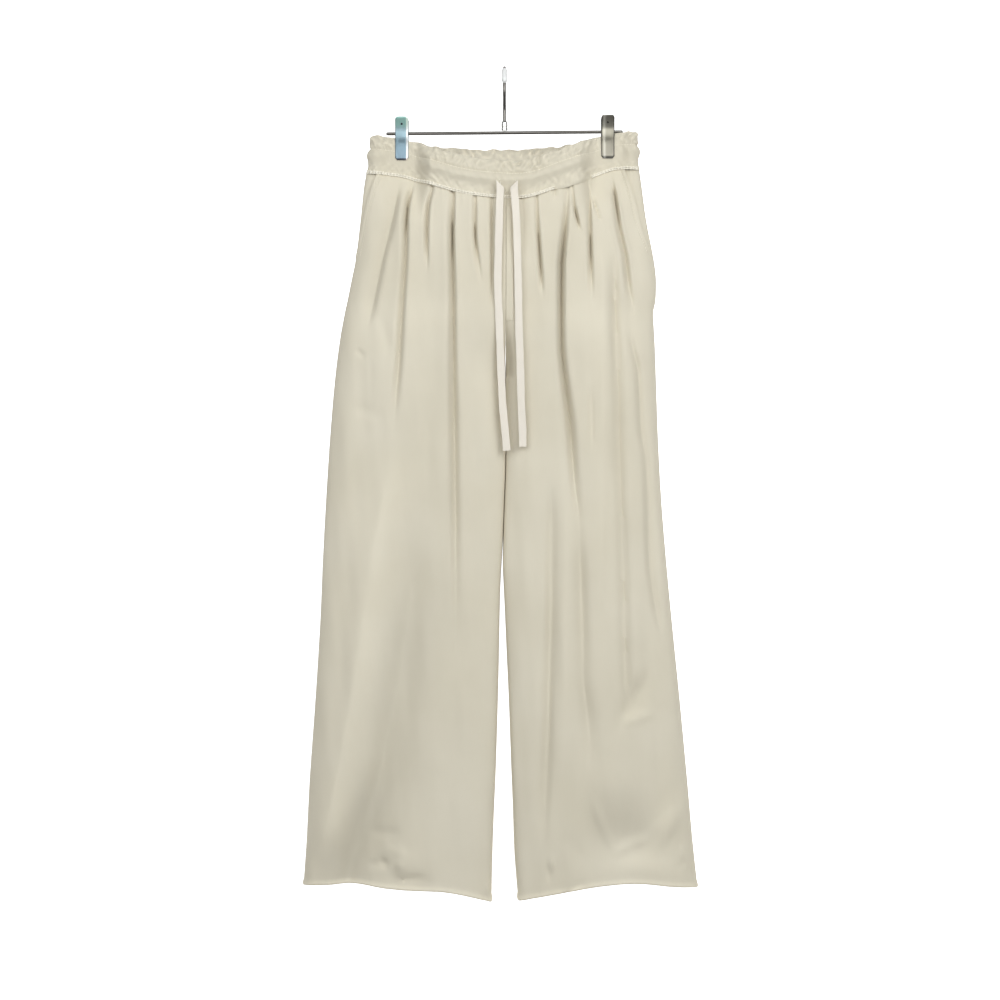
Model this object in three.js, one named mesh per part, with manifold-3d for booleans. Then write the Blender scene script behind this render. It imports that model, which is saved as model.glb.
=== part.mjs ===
// Wide-leg slacks with a pleated front and a gathered drawstring waist, hung from a two-clip hanger.
// Millimetres, +Z up. The front faces -Y, and left is -X, as seen by someone looking at the front.
// The origin is the inside top of the hanger's hook, where a rod bears.
//
// The cloth is laid out the way a tailor measures it. A height is "down", the distance below the
// origin, or "drop", the distance below the waist seam at the side. A place across a panel is its
// "share", 0 at the side seam and 1 at the centre seam or the inseam.

import * as THREE from 'three';
import { mergeVertices } from 'three/addons/utils/BufferGeometryUtils.js';
import Module from 'manifold-3d';

const wasm = await Module();
wasm.setup();

// ---- Cloth ----

const SEAM_GAP = 0.3; // clear space between neighbouring pieces
const CLOTH_WALL = 2; // a leg panel
const BAND_WALL = 3; // the waistband, two layers with elastic between
const FACING_WALL = 1.2; // a pocket facing, one layer
const STRIP_WALL = 1.3; // the mock fly strip
const CROTCH_DOWN = 388;
const RISE_CURVE_DOWN = 285; // where the centre seams start to curve towards the crotch
const WAIST_EASE = 200; // drop over which the dip of the waist seam dies out
const HEM_EASE = 250; // height over which the hem's slope dies out
const INNER_SQUARE = 0.36; // power of the section's sine towards the inseam, which makes it squarer
const HEM_ROLL = { tall: 3.4, proud: 0.8, blend: 1 }; // the thicker rolled edge

// The two halves: the waist seam's height at the side seam, and the hem's at its outer corner.
const WAIST_DOWN = { left: 130.5, right: 126.2 };
const HEM_DOWN = { left: 1018, right: 1021 };

// The outer edge of each half, which is its side seam.
const SIDE_EDGE = [
  { down: 78, left: -166.5, right: 165.4 },
  { down: 90, left: -166.8, right: 165.8 },
  { down: 118, left: -170.6, right: 167.6 },
  { down: 148, left: -175.6, right: 171.6 },
  { down: 188, left: -179.8, right: 177 },
  { down: 238, left: -186, right: 186.5 },
  { down: 263, left: -191, right: 189.4 },
  { down: 288, left: -196, right: 188.8 },
  { down: 304, left: -199.5, right: 186 },
  { down: 338, left: -205.6, right: 187.6 },
  { down: 388, left: -211.9, right: 189.4 },
  { down: 463, left: -218.2, right: 192 },
  { down: 538, left: -223, right: 196 },
  { down: 613, left: -227, right: 202 },
  { down: 688, left: -230.2, right: 209 },
  { down: 788, left: -236.4, right: 219 },
  { down: 888, left: -243.6, right: 228.4 },
  { down: 963, left: -247.4, right: 235 },
  { down: 1021, left: -251.4, right: 241.2 },
];

// The centre seams down to the crotch, then the inseam of each leg.
const CENTRE_EDGE = [
  { down: 78, x: 2 },
  { down: 250, x: 2 },
  { down: 388, x: 1.1 },
];
const INSEAM_EDGE = [
  { down: 388, left: 0.9, right: 1.3 },
  { down: 488, left: 1.5, right: 1.9 },
  { down: 538, left: -0.2, right: 0.2 },
  { down: 588, left: -2, right: -1.6 },
  { down: 618, left: -3.6, right: -2.2 },
  { down: 640, left: -4.8, right: -1.3 },
  { down: 663, left: -5.6, right: -0.2 },
  { down: 738, left: -7, right: 3.1 },
  { down: 788, left: -8.2, right: 5.4 },
  { down: 863, left: -10.6, right: 8.2 },
  { down: 913, left: -13, right: 10.4 },
  { down: 963, left: -15, right: 12.2 },
  { down: 1021, left: -16.3, right: 16.9 },
];

// How far the front and the back stand out from the plane of the side seams.
const FULLNESS = [
  { down: 78, front: 27, back: 27 },
  { down: 130, front: 30, back: 29 },
  { down: 220, front: 35, back: 32 },
  { down: 313, front: 36, back: 33 },
  { down: 388, front: 34, back: 32 },
  { down: 500, front: 30, back: 30 },
  { down: 700, front: 29, back: 29 },
  { down: 888, front: 31, back: 31 },
  { down: 1021, front: 34, back: 33 },
];

// The height of the waist seam across the front and the back.
const WAIST_SEAM = [
  { x: -173, front: 130.5, back: 130.5 },
  { x: -130, front: 135, back: 136.5 },
  { x: -97, front: 145, back: 140 },
  { x: -50, front: 158.5, back: 143.5 },
  { x: 0, front: 164, back: 144.5 },
  { x: 30, front: 163, back: 143.5 },
  { x: 63, front: 152, back: 141 },
  { x: 86, front: 143.5, back: 137.5 },
  { x: 109, front: 135.8, back: 133.5 },
  { x: 138, front: 126.2, back: 129 },
  { x: 169, front: 126.2, back: 126.2 },
];

// The height of the hem across each leg.
const HEM_LINE = [
  { share: 0, left: 1018, right: 1021 },
  { share: 0.15, left: 1016, right: 1018 },
  { share: 0.3, left: 1014.5, right: 1013.8 },
  { share: 0.45, left: 1019, right: 1013.8 },
  { share: 0.6, left: 1021.5, right: 1018 },
  { share: 0.75, left: 1023.5, right: 1024.5 },
  { share: 0.9, left: 1030.5, right: 1031 },
  { share: 1, left: 1038, right: 1036 },
];

// The slanted pocket mouths: where the front's edge leaves the side seam.
const POCKET_MOUTH = [
  { drop: 0, left: -159, right: 150 },
  { drop: 36, left: -171.3, right: 161.5 },
  { drop: 66, left: -177.8, right: 168.6 },
  { drop: 88, left: -182.2, right: 177 },
  { drop: 106, left: -186, right: 184.4 },
];
const FACING_LENGTH = 96;
const FACING_BEHIND = 3; // how many of the front's columns it runs behind
const FACING_SINK = { by: 2.35, at: 0.7 }; // how deep it sinks, and at what share of the mouth

// The waistband's courses, upwards from the waist seam: how far each stands proud of the band.
const BAND_COURSES = [
  { up: 0, proud: 0.9 },
  { up: 2.8, proud: 0.9 },
  { up: 4.2, proud: 0 },
  { up: 17.5, proud: -0.3 },
  { up: 24.5, proud: 2.2 },
  { up: 31, proud: -0.3 },
  { up: 39, proud: 1 },
  { up: 48, proud: 0 },
];
const STITCH_LINE_UP = 31; // the header's frill stands above this line
const BAND_TOP_UP = 48;
const BAND_TURN = [0, 0.6, 2.4, 5.6, 10]; // distances of the columns that round the side seam
const GATHER = { pitch: 12.8, uneven: 0.12, beat: 2.1, frill: 2.4, clearOfSeam: 14, most: 14 };
const UNDER_BAR = { clear: 2.4, blend: 8 }; // the frill is pressed down where the bar passes over it

// Folds of the front and the back. A path is [drop, x] from top to bottom. Depth is how far the
// trough goes in, or the ridge out where it is negative. The steep side is the +X side of a trough.
// Begin is the share of the depth at the path's top, rise is where it is full, fade how it ends.
const FRONT_FOLDS = [
  { name: 'pocket_sweep', depth: 5.5, steep: 6, soft: 15, begin: 0.4, rise: 40, fade: 45,
    path: [[0, -130], [53, -139], [108, -152], [170, -164.5], [200, -171]] },
  { name: 'side_pleat_left', depth: 7, steep: 4.5, soft: 6.5, begin: 0.5, rise: 25, fade: 90,
    path: [[0, -113], [38, -120], [108, -123], [170, -127], [232, -130.5], [330, -138]] },
  { name: 'short_pleat_left', depth: 6.5, steep: 2.6, soft: 5, begin: 0.5, rise: 24, fade: 60,
    path: [[0, -89], [35, -95], [125, -96]] },
  { name: 'long_pleat_left', depth: 9, steep: 4, soft: 7, begin: 0.5, rise: 50, fade: 300,
    path: [[0, -62.5], [60, -64], [170, -63.2], [294, -62.5], [464, -60.5], [640, -59]] },
  { name: 'inner_pleat_left', depth: 4.5, steep: 3.5, soft: 5.5, begin: 0.6, rise: 20, fade: 60,
    path: [[0, -35.5], [60, -35.5], [135, -28]] },
  { name: 'string_fold_left', depth: 4.5, steep: 2.6, soft: 4, begin: 0.5, rise: 25, fade: 90,
    path: [[0, -15], [190, -15]] },
  { name: 'centre_valley', depth: 6, steep: 10, soft: 10, begin: 0, rise: 80, fade: 6,
    path: [[150, 1.8], [262, 1.1]] },
  { name: 'fly_edge', depth: 0.6, steep: 1.5, soft: 1.5, begin: 1, rise: 10, fade: 20,
    path: [[0, 11], [190, 11]] },
  { name: 'string_fold_right', depth: 1, steep: 5, soft: 7, begin: 0.5, rise: 30, fade: 90,
    path: [[0, 23], [210, 26]] },
  { name: 'inner_pleat_right', depth: 5, steep: 3.5, soft: 5, begin: 0.5, rise: 50, fade: 50,
    path: [[0, 40], [23, 41], [78, 43.5], [165, 47.5]] },
  { name: 'tuck_right', depth: 2.5, steep: 3, soft: 4, begin: 1, rise: 5, fade: 12,
    path: [[0, 63], [18, 63]] },
  { name: 'long_pleat_right', depth: 12, steep: 4, soft: 6.2, begin: 0.15, rise: 100, fade: 220,
    path: [[0, 80], [38, 76.5], [62, 75], [94, 72.3], [112, 71], [218, 71], [250, 73.5],
      [287, 78], [325, 82], [362, 84.5], [400, 88], [437, 93], [500, 95]] },
  { name: 'facet_crease_right', depth: 3.5, steep: 3, soft: 4, begin: 0.3, rise: 25, fade: 30,
    path: [[0, 84], [37, 88], [50, 90.5], [62, 93], [76, 96]] },
  { name: 'outer_pleat_right', depth: 5.5, steep: 3.5, soft: 5, begin: 0.3, rise: 60, fade: 60,
    path: [[0, 104], [23, 106], [128, 107.5], [172, 109]] },
  { name: 'side_pleat_right', depth: 6, steep: 4.5, soft: 7, begin: 0.4, rise: 30, fade: 60,
    path: [[0, 132], [25, 137], [50, 140.3], [75, 143.5], [94, 147.4],
      [112, 151], [137, 153.6], [162, 157.4], [188, 161.5]] },
  { name: 'hip_valley_right', depth: 6, steep: 7, soft: 8, begin: 0, rise: 90, fade: 60,
    path: [[75, 136], [112, 137], [187, 137.5], [325, 142], [437, 146], [600, 150], [690, 153]] },
  { name: 'thigh_valley_left', depth: 2, steep: 16, soft: 20, begin: 0, rise: 60, fade: 80,
    path: [[265, -95], [480, -97]] },
  { name: 'knee_ridge_left', depth: -9, steep: 23, soft: 24, begin: 0, rise: 120, fade: 60,
    path: [[340, -138], [428, -156], [583, -178], [675, -193], [764, -211], [870, -234]] },
  { name: 'shin_valley_left', depth: 11, steep: 40, soft: 22, begin: 0, rise: 220, fade: 4,
    path: [[380, -108], [500, -112], [533, -116], [633, -132], [733, -150], [808, -172], [892, -196]] },
  { name: 'inner_valley_right', depth: 5.5, steep: 7, soft: 8, begin: 0, rise: 60, fade: 120,
    path: [[380, 58.5], [470, 58.5], [620, 56], [860, 48]] },
  { name: 'inner_ridge_right', depth: -2, steep: 9, soft: 9, begin: 0, rise: 80, fade: 160,
    path: [[340, 76], [800, 72]] },
  { name: 'middle_valley_right', depth: 5.5, steep: 9, soft: 10, begin: 0, rise: 60, fade: 90,
    path: [[437, 93], [487, 94], [537, 95.5], [590, 97],
      [637, 97.5], [675, 102], [712, 104.5], [760, 107]] },
  { name: 'middle_ridge_right', depth: -3, steep: 11, soft: 11, begin: 0, rise: 60, fade: 200,
    path: [[70, 121], [600, 122]] },
  { name: 'outer_crease_right', depth: 4.5, steep: 5, soft: 6, begin: 0, rise: 50, fade: 50,
    path: [[190, 155], [218, 158], [250, 165.5], [325, 170], [362, 176],
      [487, 180], [525, 185], [562, 191], [592, 197]] },
];
const BACK_FOLDS = [
  { name: 'seat_gather_a', depth: 3.5, steep: 6, soft: 9, begin: 0.5, rise: 20, fade: 80,
    path: [[0, -143], [150, -152]] },
  { name: 'seat_fold_left', depth: 5, steep: 6, soft: 11, begin: 0.5, rise: 30, fade: 130,
    path: [[0, -112], [240, -119]] },
  { name: 'seat_gather_b', depth: 3, steep: 5, soft: 8, begin: 0.5, rise: 20, fade: 60,
    path: [[0, -85], [110, -87]] },
  { name: 'seat_pleat_left', depth: 6, steep: 6, soft: 13, begin: 0.4, rise: 40, fade: 260,
    path: [[0, -57], [200, -59], [430, -62]] },
  { name: 'seat_gather_left', depth: 3.5, steep: 5, soft: 9, begin: 0.5, rise: 20, fade: 70,
    path: [[0, -27], [140, -24]] },
  { name: 'seat_gather_right', depth: 3.5, steep: 5, soft: 9, begin: 0.5, rise: 20, fade: 70,
    path: [[0, 27], [120, 29]] },
  { name: 'seat_pleat_right', depth: 6, steep: 6, soft: 13, begin: 0.4, rise: 40, fade: 220,
    path: [[0, 56], [180, 60], [360, 65]] },
  { name: 'seat_gather_c', depth: 4, steep: 5, soft: 9, begin: 0.5, rise: 20, fade: 90,
    path: [[0, 84], [165, 86]] },
  { name: 'seat_fold_right', depth: 5, steep: 6, soft: 11, begin: 0.5, rise: 30, fade: 140,
    path: [[0, 112], [260, 121]] },
  { name: 'seat_gather_d', depth: 3.5, steep: 6, soft: 9, begin: 0.5, rise: 20, fade: 70,
    path: [[0, 142], [130, 151]] },
  { name: 'calf_valley_left', depth: 4.5, steep: 24, soft: 20, begin: 0, rise: 120, fade: 60,
    path: [[300, -108], [600, -118], [892, -136]] },
  { name: 'calf_ridge_left', depth: -4, steep: 18, soft: 20, begin: 0, rise: 150, fade: 60,
    path: [[360, -165], [892, -196]] },
  { name: 'calf_valley_right', depth: 4.5, steep: 22, soft: 22, begin: 0, rise: 120, fade: 60,
    path: [[320, 104], [600, 112], [895, 132]] },
  { name: 'calf_ridge_right', depth: -4, steep: 20, soft: 18, begin: 0, rise: 150, fade: 60,
    path: [[380, 158], [895, 186]] },
];
// How much the cloth beside a trough swells, at the waist seam and further down.
const FOLD_LIFT = { atSeam: 1.2, below: 0.5, from: 90, to: 320 };
const FOLD_POINTED = 1.6; // power of the distance in a fold: 2 is round at the bottom, 1 is a sharp V
const FOLD_LIMIT = 0.7; // a trough's depth, at most, as a share of the cloth's fullness there

// Dents and swells of the front that are as wide as they are tall. Lean is the x moved for each mm down.
const FRONT_DENTS = [
  { name: 'shin_patch_right', drop: 661, x: 160, wide: 11, tall: 28, lean: -0.45, depth: 6 },
  { name: 'shin_trough_right', drop: 846, x: 154, wide: 42, tall: 38, lean: 0.1, depth: 9 },
  { name: 'hem_hollow_left', drop: 888, x: -197, wide: 36, tall: 62, lean: -0.35, depth: 3.5 },
  { name: 'shin_ridge_right', drop: 824, x: 203, wide: 9, tall: 28, lean: -0.6, depth: -3.5 },
  { name: 'hem_swell_right', drop: 874, x: 166, wide: 40, tall: 13, lean: 0, depth: -3 },
  { name: 'hem_facet_left', drop: 850, x: -126, wide: 18, tall: 13, lean: 0.4, depth: -2.5 },
  { name: 'hem_dent_left', drop: 874, x: -120, wide: 24, tall: 8, lean: 0, depth: 3 },
];

// The columns of each panel follow its folds. Steps is how many columns lead up to each of them.
const FRONT_COLUMNS = {
  left: [
    { to: 'pocket_sweep', steps: 5 },
    { to: 'side_pleat_left', steps: 4 },
    { to: 'short_pleat_left', steps: 4 },
    { to: 'long_pleat_left', steps: 5 },
    { to: 'inner_pleat_left', steps: 4 },
    { to: 'string_fold_left', steps: 3 },
    { to: 'seam', steps: 3 },
  ],
  right: [
    { to: 'side_pleat_right', steps: 5 },
    { to: 'outer_pleat_right', steps: 5 },
    { to: 'long_pleat_right', steps: 4 },
    { to: 'inner_pleat_right', steps: 5 },
    { to: 'string_fold_right', steps: 3 },
    { to: 'fly_edge', steps: 2 },
    { to: 'seam', steps: 2 },
  ],
};
const BACK_COLUMNS = {
  left: [
    { to: 'seat_fold_left', steps: 5 },
    { to: 'seat_pleat_left', steps: 4 },
    { to: 'seat_gather_left', steps: 3 },
    { to: 'seam', steps: 3 },
  ],
  right: [
    { to: 'seat_fold_right', steps: 5 },
    { to: 'seat_pleat_right', steps: 4 },
    { to: 'seat_gather_right', steps: 3 },
    { to: 'seam', steps: 3 },
  ],
};
const COLUMN_CROWDING = 0.6; // how much closer the columns stand beside a fold

// The courses of a panel, as shares of the rise above the crotch and of the leg below it.
const RISE_COURSES = {
  front: [0, 0.03, 0.08, 0.15, 0.24, 0.35, 0.47, 0.6, 0.73, 0.85, 0.94, 1],
  back: [0, 0.06, 0.16, 0.3, 0.48, 0.66, 0.82, 0.93, 1],
};
const LEG_COURSES = {
  front: [0.05, 0.13, 0.23, 0.34, 0.46, 0.58, 0.69, 0.79, 0.88, 0.95],
  back: [0.06, 0.16, 0.3, 0.46, 0.62, 0.78, 0.9],
};
const FLY_STRIP = { columns: 3, firstCourse: 1, lastCourse: 8 };

// ---- Drawstring ----

const TAPE = { wide: 9.4, thick: 1.2, corner: 0.35, steps: 20 };
const TAPE_LEFT = [
  [-5.6, -34.6, -143], [-5.2, -37, -149], [-5.4, -38.6, -158], [-6, -39.6, -170], [-6.8, -40.2, -199],
  [-7.6, -40.4, -230], [-8.3, -40.2, -267], [-7.7, -39.8, -290], [-6.8, -39.4, -311],
  [-5.8, -38.6, -341], [-4.5, -37.6, -372], [-3.5, -36.6, -396], [-2.5, -35.8, -417],
  [-0.9, -34.8, -436], [0.8, -34, -454], [2.7, -33.2, -477],
];
const TAPE_RIGHT = [
  [11.9, -34.6, -143], [11.7, -37, -149], [12.2, -38.8, -158], [13.2, -39.8, -170], [15, -40.4, -199],
  [15.9, -40.6, -230], [16.7, -40.4, -267], [17.2, -40, -292], [17.8, -39.6, -326],
  [18.6, -38.8, -349], [19.4, -38, -372], [20, -37, -395], [20.5, -36, -416],
  [21.5, -35, -436], [22.3, -34.2, -454], [22.6, -33.6, -472],
];

// ---- Hanger ----

const BAR = { length: 296, radius: 2, down: 79.1, tiltDegrees: 0.5, sides: 10 };
const HOOK = {
  wire: 2, // radius of the wire
  seat: 19, // inside radius of the hook
  leanDegrees: -45, // where the arc starts, at the back
  tipDegrees: 172,
  bendDown: 52,
  stemDown: 73,
  sides: 8,
  steps: 28,
  arcPieces: 14,
  bendPieces: 5,
};
const SLEEVE = {
  radius: 3.5,
  bore: 2.45,
  fromDegrees: 130,
  toDegrees: 174,
  boreFromDegrees: 127,
  boreToDegrees: 173,
  steps: 5,
  sides: 8,
};
const FERRULE = { radius: 4, top: 64.5, bottom: 76.5, bevel: 1, bore: 2.35, boreBottom: 74, sides: 16 };
const CLIP = {
  wide: 16.6,
  plate: 1.2,
  above: 20.4, // top of the leaf above the bar
  below: 33.4, // bottom of the jaw below the bar
  corner: 4,
  hole: 1.75,
  holeUp: 11.2,
  cheek: { thick: 0.9, from: 2.5, to: 5.8, low: -2.8, high: 12, slant: 4 },
};
const CLIP_DEEP = 14; // further out than any part of a leaf
const CLIP_SPRING = { bore: 2.35, radius: 3.6, half: 5, sides: 14 };
const CLIPS = [
  { name: 'left', x: -128.2 },
  { name: 'right', x: 129 },
];
const PINCHED = 3.2; // half the thickness of the gripped waistband
const JAW_GRIP = { flat: 15, reach: 38, fullDown: 117, goneDown: 190 };
const JAW_FACE = PINCHED + SEAM_GAP / 2 + SEAM_GAP;

// The inner line of a clip's leaf, from its jaw upwards: y is out of the clip, z is from the bar.
const LEAF_LINE = [
  { y: JAW_FACE, z: -CLIP.below },
  { y: JAW_FACE, z: -13 },
  { y: 5, z: -6 },
  { y: 5.2, z: 4 },
  { y: 8.6, z: CLIP.above },
];

// ---- Small mathematics ----

const { clamp, lerp, degToRad } = THREE.MathUtils;

// Goes smoothly from 0 at one value to 1 at the other, which may be the smaller one.
function ease(from, to, value) {
  const t = clamp((value - from) / (to - from), 0, 1);
  return t * t * (3 - 2 * t);
}

// A smooth curve through [at, value] points, level past its ends.
function curveThrough(points) {
  const last = points.length - 1;
  const slopes = points.map((point, i) => {
    const before = points[Math.max(i - 1, 0)];
    const after = points[Math.min(i + 1, last)];
    return (after[1] - before[1]) / (after[0] - before[0]);
  });
  return (at) => {
    if (at <= points[0][0]) return points[0][1];
    if (at >= points[last][0]) return points[last][1];
    const i = points.findIndex((point) => point[0] > at) - 1;
    const span = points[i + 1][0] - points[i][0];
    const t = (at - points[i][0]) / span;
    const u = 1 - t;
    return u * u * (1 + 2 * t) * points[i][1] + t * t * (3 - 2 * t) * points[i + 1][1]
      + span * t * u * (u * slopes[i] - t * slopes[i + 1]);
  };
}

// A curve through one column of a table, against another of its columns.
function column(rows, at, name) {
  return curveThrough(rows.map((row) => [row[at], row[name]]));
}

// ---- The shape of the cloth ----

const fullness = { front: column(FULLNESS, 'down', 'front'), back: column(FULLNESS, 'down', 'back') };
const waistSeam = { front: column(WAIST_SEAM, 'x', 'front'), back: column(WAIST_SEAM, 'x', 'back') };
const centreEdge = column(CENTRE_EDGE, 'down', 'x');
const outward = { front: -1, back: 1 }; // the direction in Y

function makeHalf(name, towardsCentre) {
  return {
    name,
    towardsCentre,
    waist: WAIST_DOWN[name],
    hem: HEM_DOWN[name],
    sideEdge: column(SIDE_EDGE, 'down', name),
    inseam: column(INSEAM_EDGE, 'down', name),
    hemLine: column(HEM_LINE, 'share', name),
    pocketMouth: column(POCKET_MOUTH, 'drop', name),
  };
}
const HALVES = [makeHalf('left', 1), makeHalf('right', -1)];

function makeFold(fold) {
  const drops = fold.path.map(([drop]) => drop);
  return { ...fold, top: drops[0], end: drops[drops.length - 1], x: curveThrough(fold.path) };
}
const folds = { front: FRONT_FOLDS.map(makeFold), back: BACK_FOLDS.map(makeFold) };
const dents = { front: FRONT_DENTS, back: [] };

// The section's end angle: 90 degrees where the centre seams join two halves into one tube,
// 180 degrees where each leg is a tube of its own, and the crotch curve between.
function endAngle(down) {
  return (Math.PI / 2) * (1 + ease(RISE_CURVE_DOWN, CROTCH_DOWN, down));
}

// The inner edge of a panel, half a seam gap from the centre, or the leg's inseam.
function innerEdge(half, down, gap) {
  if (down > CROTCH_DOWN) return half.inseam(down);
  return centreEdge(down) - half.towardsCentre * gap / 2;
}

// How firmly a clip grips the cloth: 1 between its jaws, 0 away from them.
function clipGrip(x, down) {
  const across = Math.max(...CLIPS.map((clip) => ease(JAW_GRIP.reach, JAW_GRIP.flat, Math.abs(x - clip.x))));
  return across * ease(JAW_GRIP.goneDown, JAW_GRIP.fullDown, down);
}

// How far the folds and dents press the cloth in at a place.
function pressedIn(face, x, drop) {
  let total = 0;
  const lift = lerp(FOLD_LIFT.atSeam, FOLD_LIFT.below, ease(FOLD_LIFT.from, FOLD_LIFT.to, drop));
  for (const fold of folds[face]) {
    if (drop < fold.top || drop > fold.end) continue;
    const strength = lerp(fold.begin, 1, ease(fold.top, fold.top + fold.rise, drop))
      * ease(fold.end, fold.end - fold.fade, drop);
    const off = x - fold.x(drop);
    const q = Math.abs(off / (off > 0 ? fold.steep : fold.soft)) ** FOLD_POINTED;
    total += fold.depth * strength * (1 - lift * q) * Math.exp(-q);
  }
  for (const dent of dents[face]) {
    const below = drop - dent.drop;
    const beside = x - dent.x - dent.lean * below;
    total += dent.depth * Math.exp(-((beside / dent.wide) ** 2) - (below / dent.tall) ** 2);
  }
  return total;
}

// A point of the cloth's outer face, and the way out of the cloth there. The section is half a lens
// from the side seam, squarer past its fullest place, flattened by the clips and pressed in by the folds.
function clothPoint(half, face, share, drop, gap = SEAM_GAP) {
  const down = half.waist + drop;
  const outer = half.sideEdge(down);
  const across = innerEdge(half, down, gap) - outer;
  const end = endAngle(down);
  const angle = Math.acos(clamp(1 - share * (1 - Math.cos(end)), -1, 1));
  const x = outer + across * share;
  const grip = clipGrip(x, down);
  const square = angle > Math.PI / 2 ? INNER_SQUARE : 1;
  const sine = Math.max(Math.sin(angle), 1e-6);
  const full = lerp(fullness[face](down) * sine ** square, PINCHED, grip);
  const press = Math.min(pressedIn(face, x, drop) * ease(2, 16, full), FOLD_LIMIT * full);
  const dip = (waistSeam[face](x) - half.waist) * (1 - ease(0, WAIST_EASE, drop));
  const slope = (half.hemLine(share) - half.hem) * ease(half.hem - HEM_EASE, half.hem, down);
  const run = Math.abs(across) * sine / (1 - Math.cos(end));
  const climb = fullness[face](down) * square * sine ** (square - 1) * Math.cos(angle) * (1 - grip);
  const size = Math.hypot(run, climb);
  return {
    at: new THREE.Vector3(x, outward[face] * (SEAM_GAP / 2 + full - press), -down - dip - slope),
    out: new THREE.Vector3(-half.towardsCentre * climb / size, outward[face] * run / size, 0),
    grip,
  };
}

// The point moved out of the cloth, or into it where the distance is negative.
function moved(point, distance) {
  return point.at.clone().addScaledVector(point.out, distance);
}

// The shares of a panel's columns at a drop. They follow the folds, and then keep their shares.
function columnShares(half, face, columns, drop) {
  const shareAt = (x, at) => {
    const outer = half.sideEdge(half.waist + at);
    return (x - outer) / (innerEdge(half, half.waist + at, SEAM_GAP) - outer);
  };
  const mouthEnd = POCKET_MOUTH[POCKET_MOUTH.length - 1].drop;
  const hasMouth = face === 'front' && drop < mouthEnd;
  const shares = [hasMouth ? Math.max(shareAt(half.pocketMouth(drop), drop), 0) : 0];
  for (const { to, steps } of columns) {
    const start = shares[shares.length - 1];
    const fold = folds[face].find(({ name }) => name === to);
    const reached = fold ? shareAt(fold.x(Math.min(drop, fold.end)), Math.min(drop, fold.end)) : 1;
    for (let i = 1; i <= steps; i += 1) {
      const t = i / steps;
      const crowded = t - COLUMN_CROWDING * Math.sin(2 * Math.PI * t) / (2 * Math.PI);
      shares.push(lerp(start, reached, crowded));
    }
  }
  return shares;
}

// The drops of a panel's courses, and how proud each stands for the rolled hem.
function panelCourses(half, face) {
  const crotch = CROTCH_DOWN - half.waist;
  const hem = half.hem - half.waist;
  const rise = RISE_COURSES[face].map((share) => share * crotch);
  const leg = LEG_COURSES[face].map((share) => lerp(crotch, hem, share));
  const plain = [SEAM_GAP / 2, ...rise.slice(1), ...leg].map((drop) => ({ drop, proud: 0 }));
  return [
    ...plain,
    { drop: hem - HEM_ROLL.tall - HEM_ROLL.blend, proud: 0 },
    { drop: hem - HEM_ROLL.tall, proud: HEM_ROLL.proud },
    { drop: hem, proud: HEM_ROLL.proud },
  ];
}

// ---- Solids ----

function cleanGeometry(geometry) {
  const bare = geometry.index ? geometry.toNonIndexed() : geometry.clone();
  bare.deleteAttribute('normal');
  bare.deleteAttribute('uv');
  return mergeVertices(bare);
}

// A closed wall between two grids of points, one for each face of the cloth.
function wallBetween(outerGrid, innerGrid) {
  const rows = outerGrid.length;
  const columns = outerGrid[0].length;
  const positions = [...outerGrid, ...innerGrid].flat().flatMap((point) => point.toArray());
  const index = [];
  const outer = (i, j) => i * columns + j;
  const inner = (i, j) => (rows + i) * columns + j;
  const quad = (a, b, c, d) => index.push(a, b, c, a, c, d);
  for (let i = 0; i < rows - 1; i += 1) {
    for (let j = 0; j < columns - 1; j += 1) {
      quad(outer(i, j), outer(i + 1, j), outer(i + 1, j + 1), outer(i, j + 1));
      quad(inner(i, j), inner(i, j + 1), inner(i + 1, j + 1), inner(i + 1, j));
    }
    quad(outer(i, 0), inner(i, 0), inner(i + 1, 0), outer(i + 1, 0));
    const end = columns - 1;
    quad(outer(i, end), outer(i + 1, end), inner(i + 1, end), inner(i, end));
  }
  for (let j = 0; j < columns - 1; j += 1) {
    quad(outer(0, j), outer(0, j + 1), inner(0, j + 1), inner(0, j));
    const end = rows - 1;
    quad(outer(end, j), inner(end, j), inner(end, j + 1), outer(end, j + 1));
  }
  const geometry = new THREE.BufferGeometry();
  geometry.setAttribute('position', new THREE.Float32BufferAttribute(positions, 3));
  geometry.setIndex(signedVolume(positions, index) < 0 ? index.reverse() : index);
  return geometry;
}

function signedVolume(positions, index) {
  const corner = (k) => new THREE.Vector3().fromArray(positions, 3 * index[k]);
  let volume = 0;
  for (let k = 0; k < index.length; k += 3) {
    volume += corner(k).dot(corner(k + 1).cross(corner(k + 2)));
  }
  return volume;
}

function toManifold(geometry) {
  const clean = cleanGeometry(geometry);
  return new wasm.Manifold(new wasm.Mesh({
    numProp: 3,
    vertProperties: Float32Array.from(clean.attributes.position.array),
    triVerts: Uint32Array.from(clean.index.array),
  }));
}

function fromManifold(solid) {
  const mesh = solid.getMesh();
  const geometry = new THREE.BufferGeometry();
  geometry.setAttribute('position', new THREE.BufferAttribute(mesh.vertProperties, 3));
  geometry.setIndex(new THREE.BufferAttribute(mesh.triVerts, 1));
  return geometry;
}

// A round section carried along a curve.
function rod(radius, sides, curve, steps) {
  const corners = Array.from({ length: sides }, (_, i) => {
    const turn = 2 * Math.PI * i / sides;
    return new THREE.Vector2(radius * Math.cos(turn), radius * Math.sin(turn));
  });
  return new THREE.ExtrudeGeometry(new THREE.Shape(corners), { steps, extrudePath: curve });
}

// ---- Materials ----

const PALETTE = {
  cloth: { color: 0xd9d2bf, roughness: 0.92, metalness: 0 },
  tape: { color: 0xeae4d6, roughness: 0.9, metalness: 0 },
  steel: { color: 0xb9b7b0, roughness: 0.25, metalness: 1 },
  plastic: { color: 0xeeeeea, roughness: 0.45, metalness: 0 },
};

const slacks = new THREE.Group();

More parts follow.
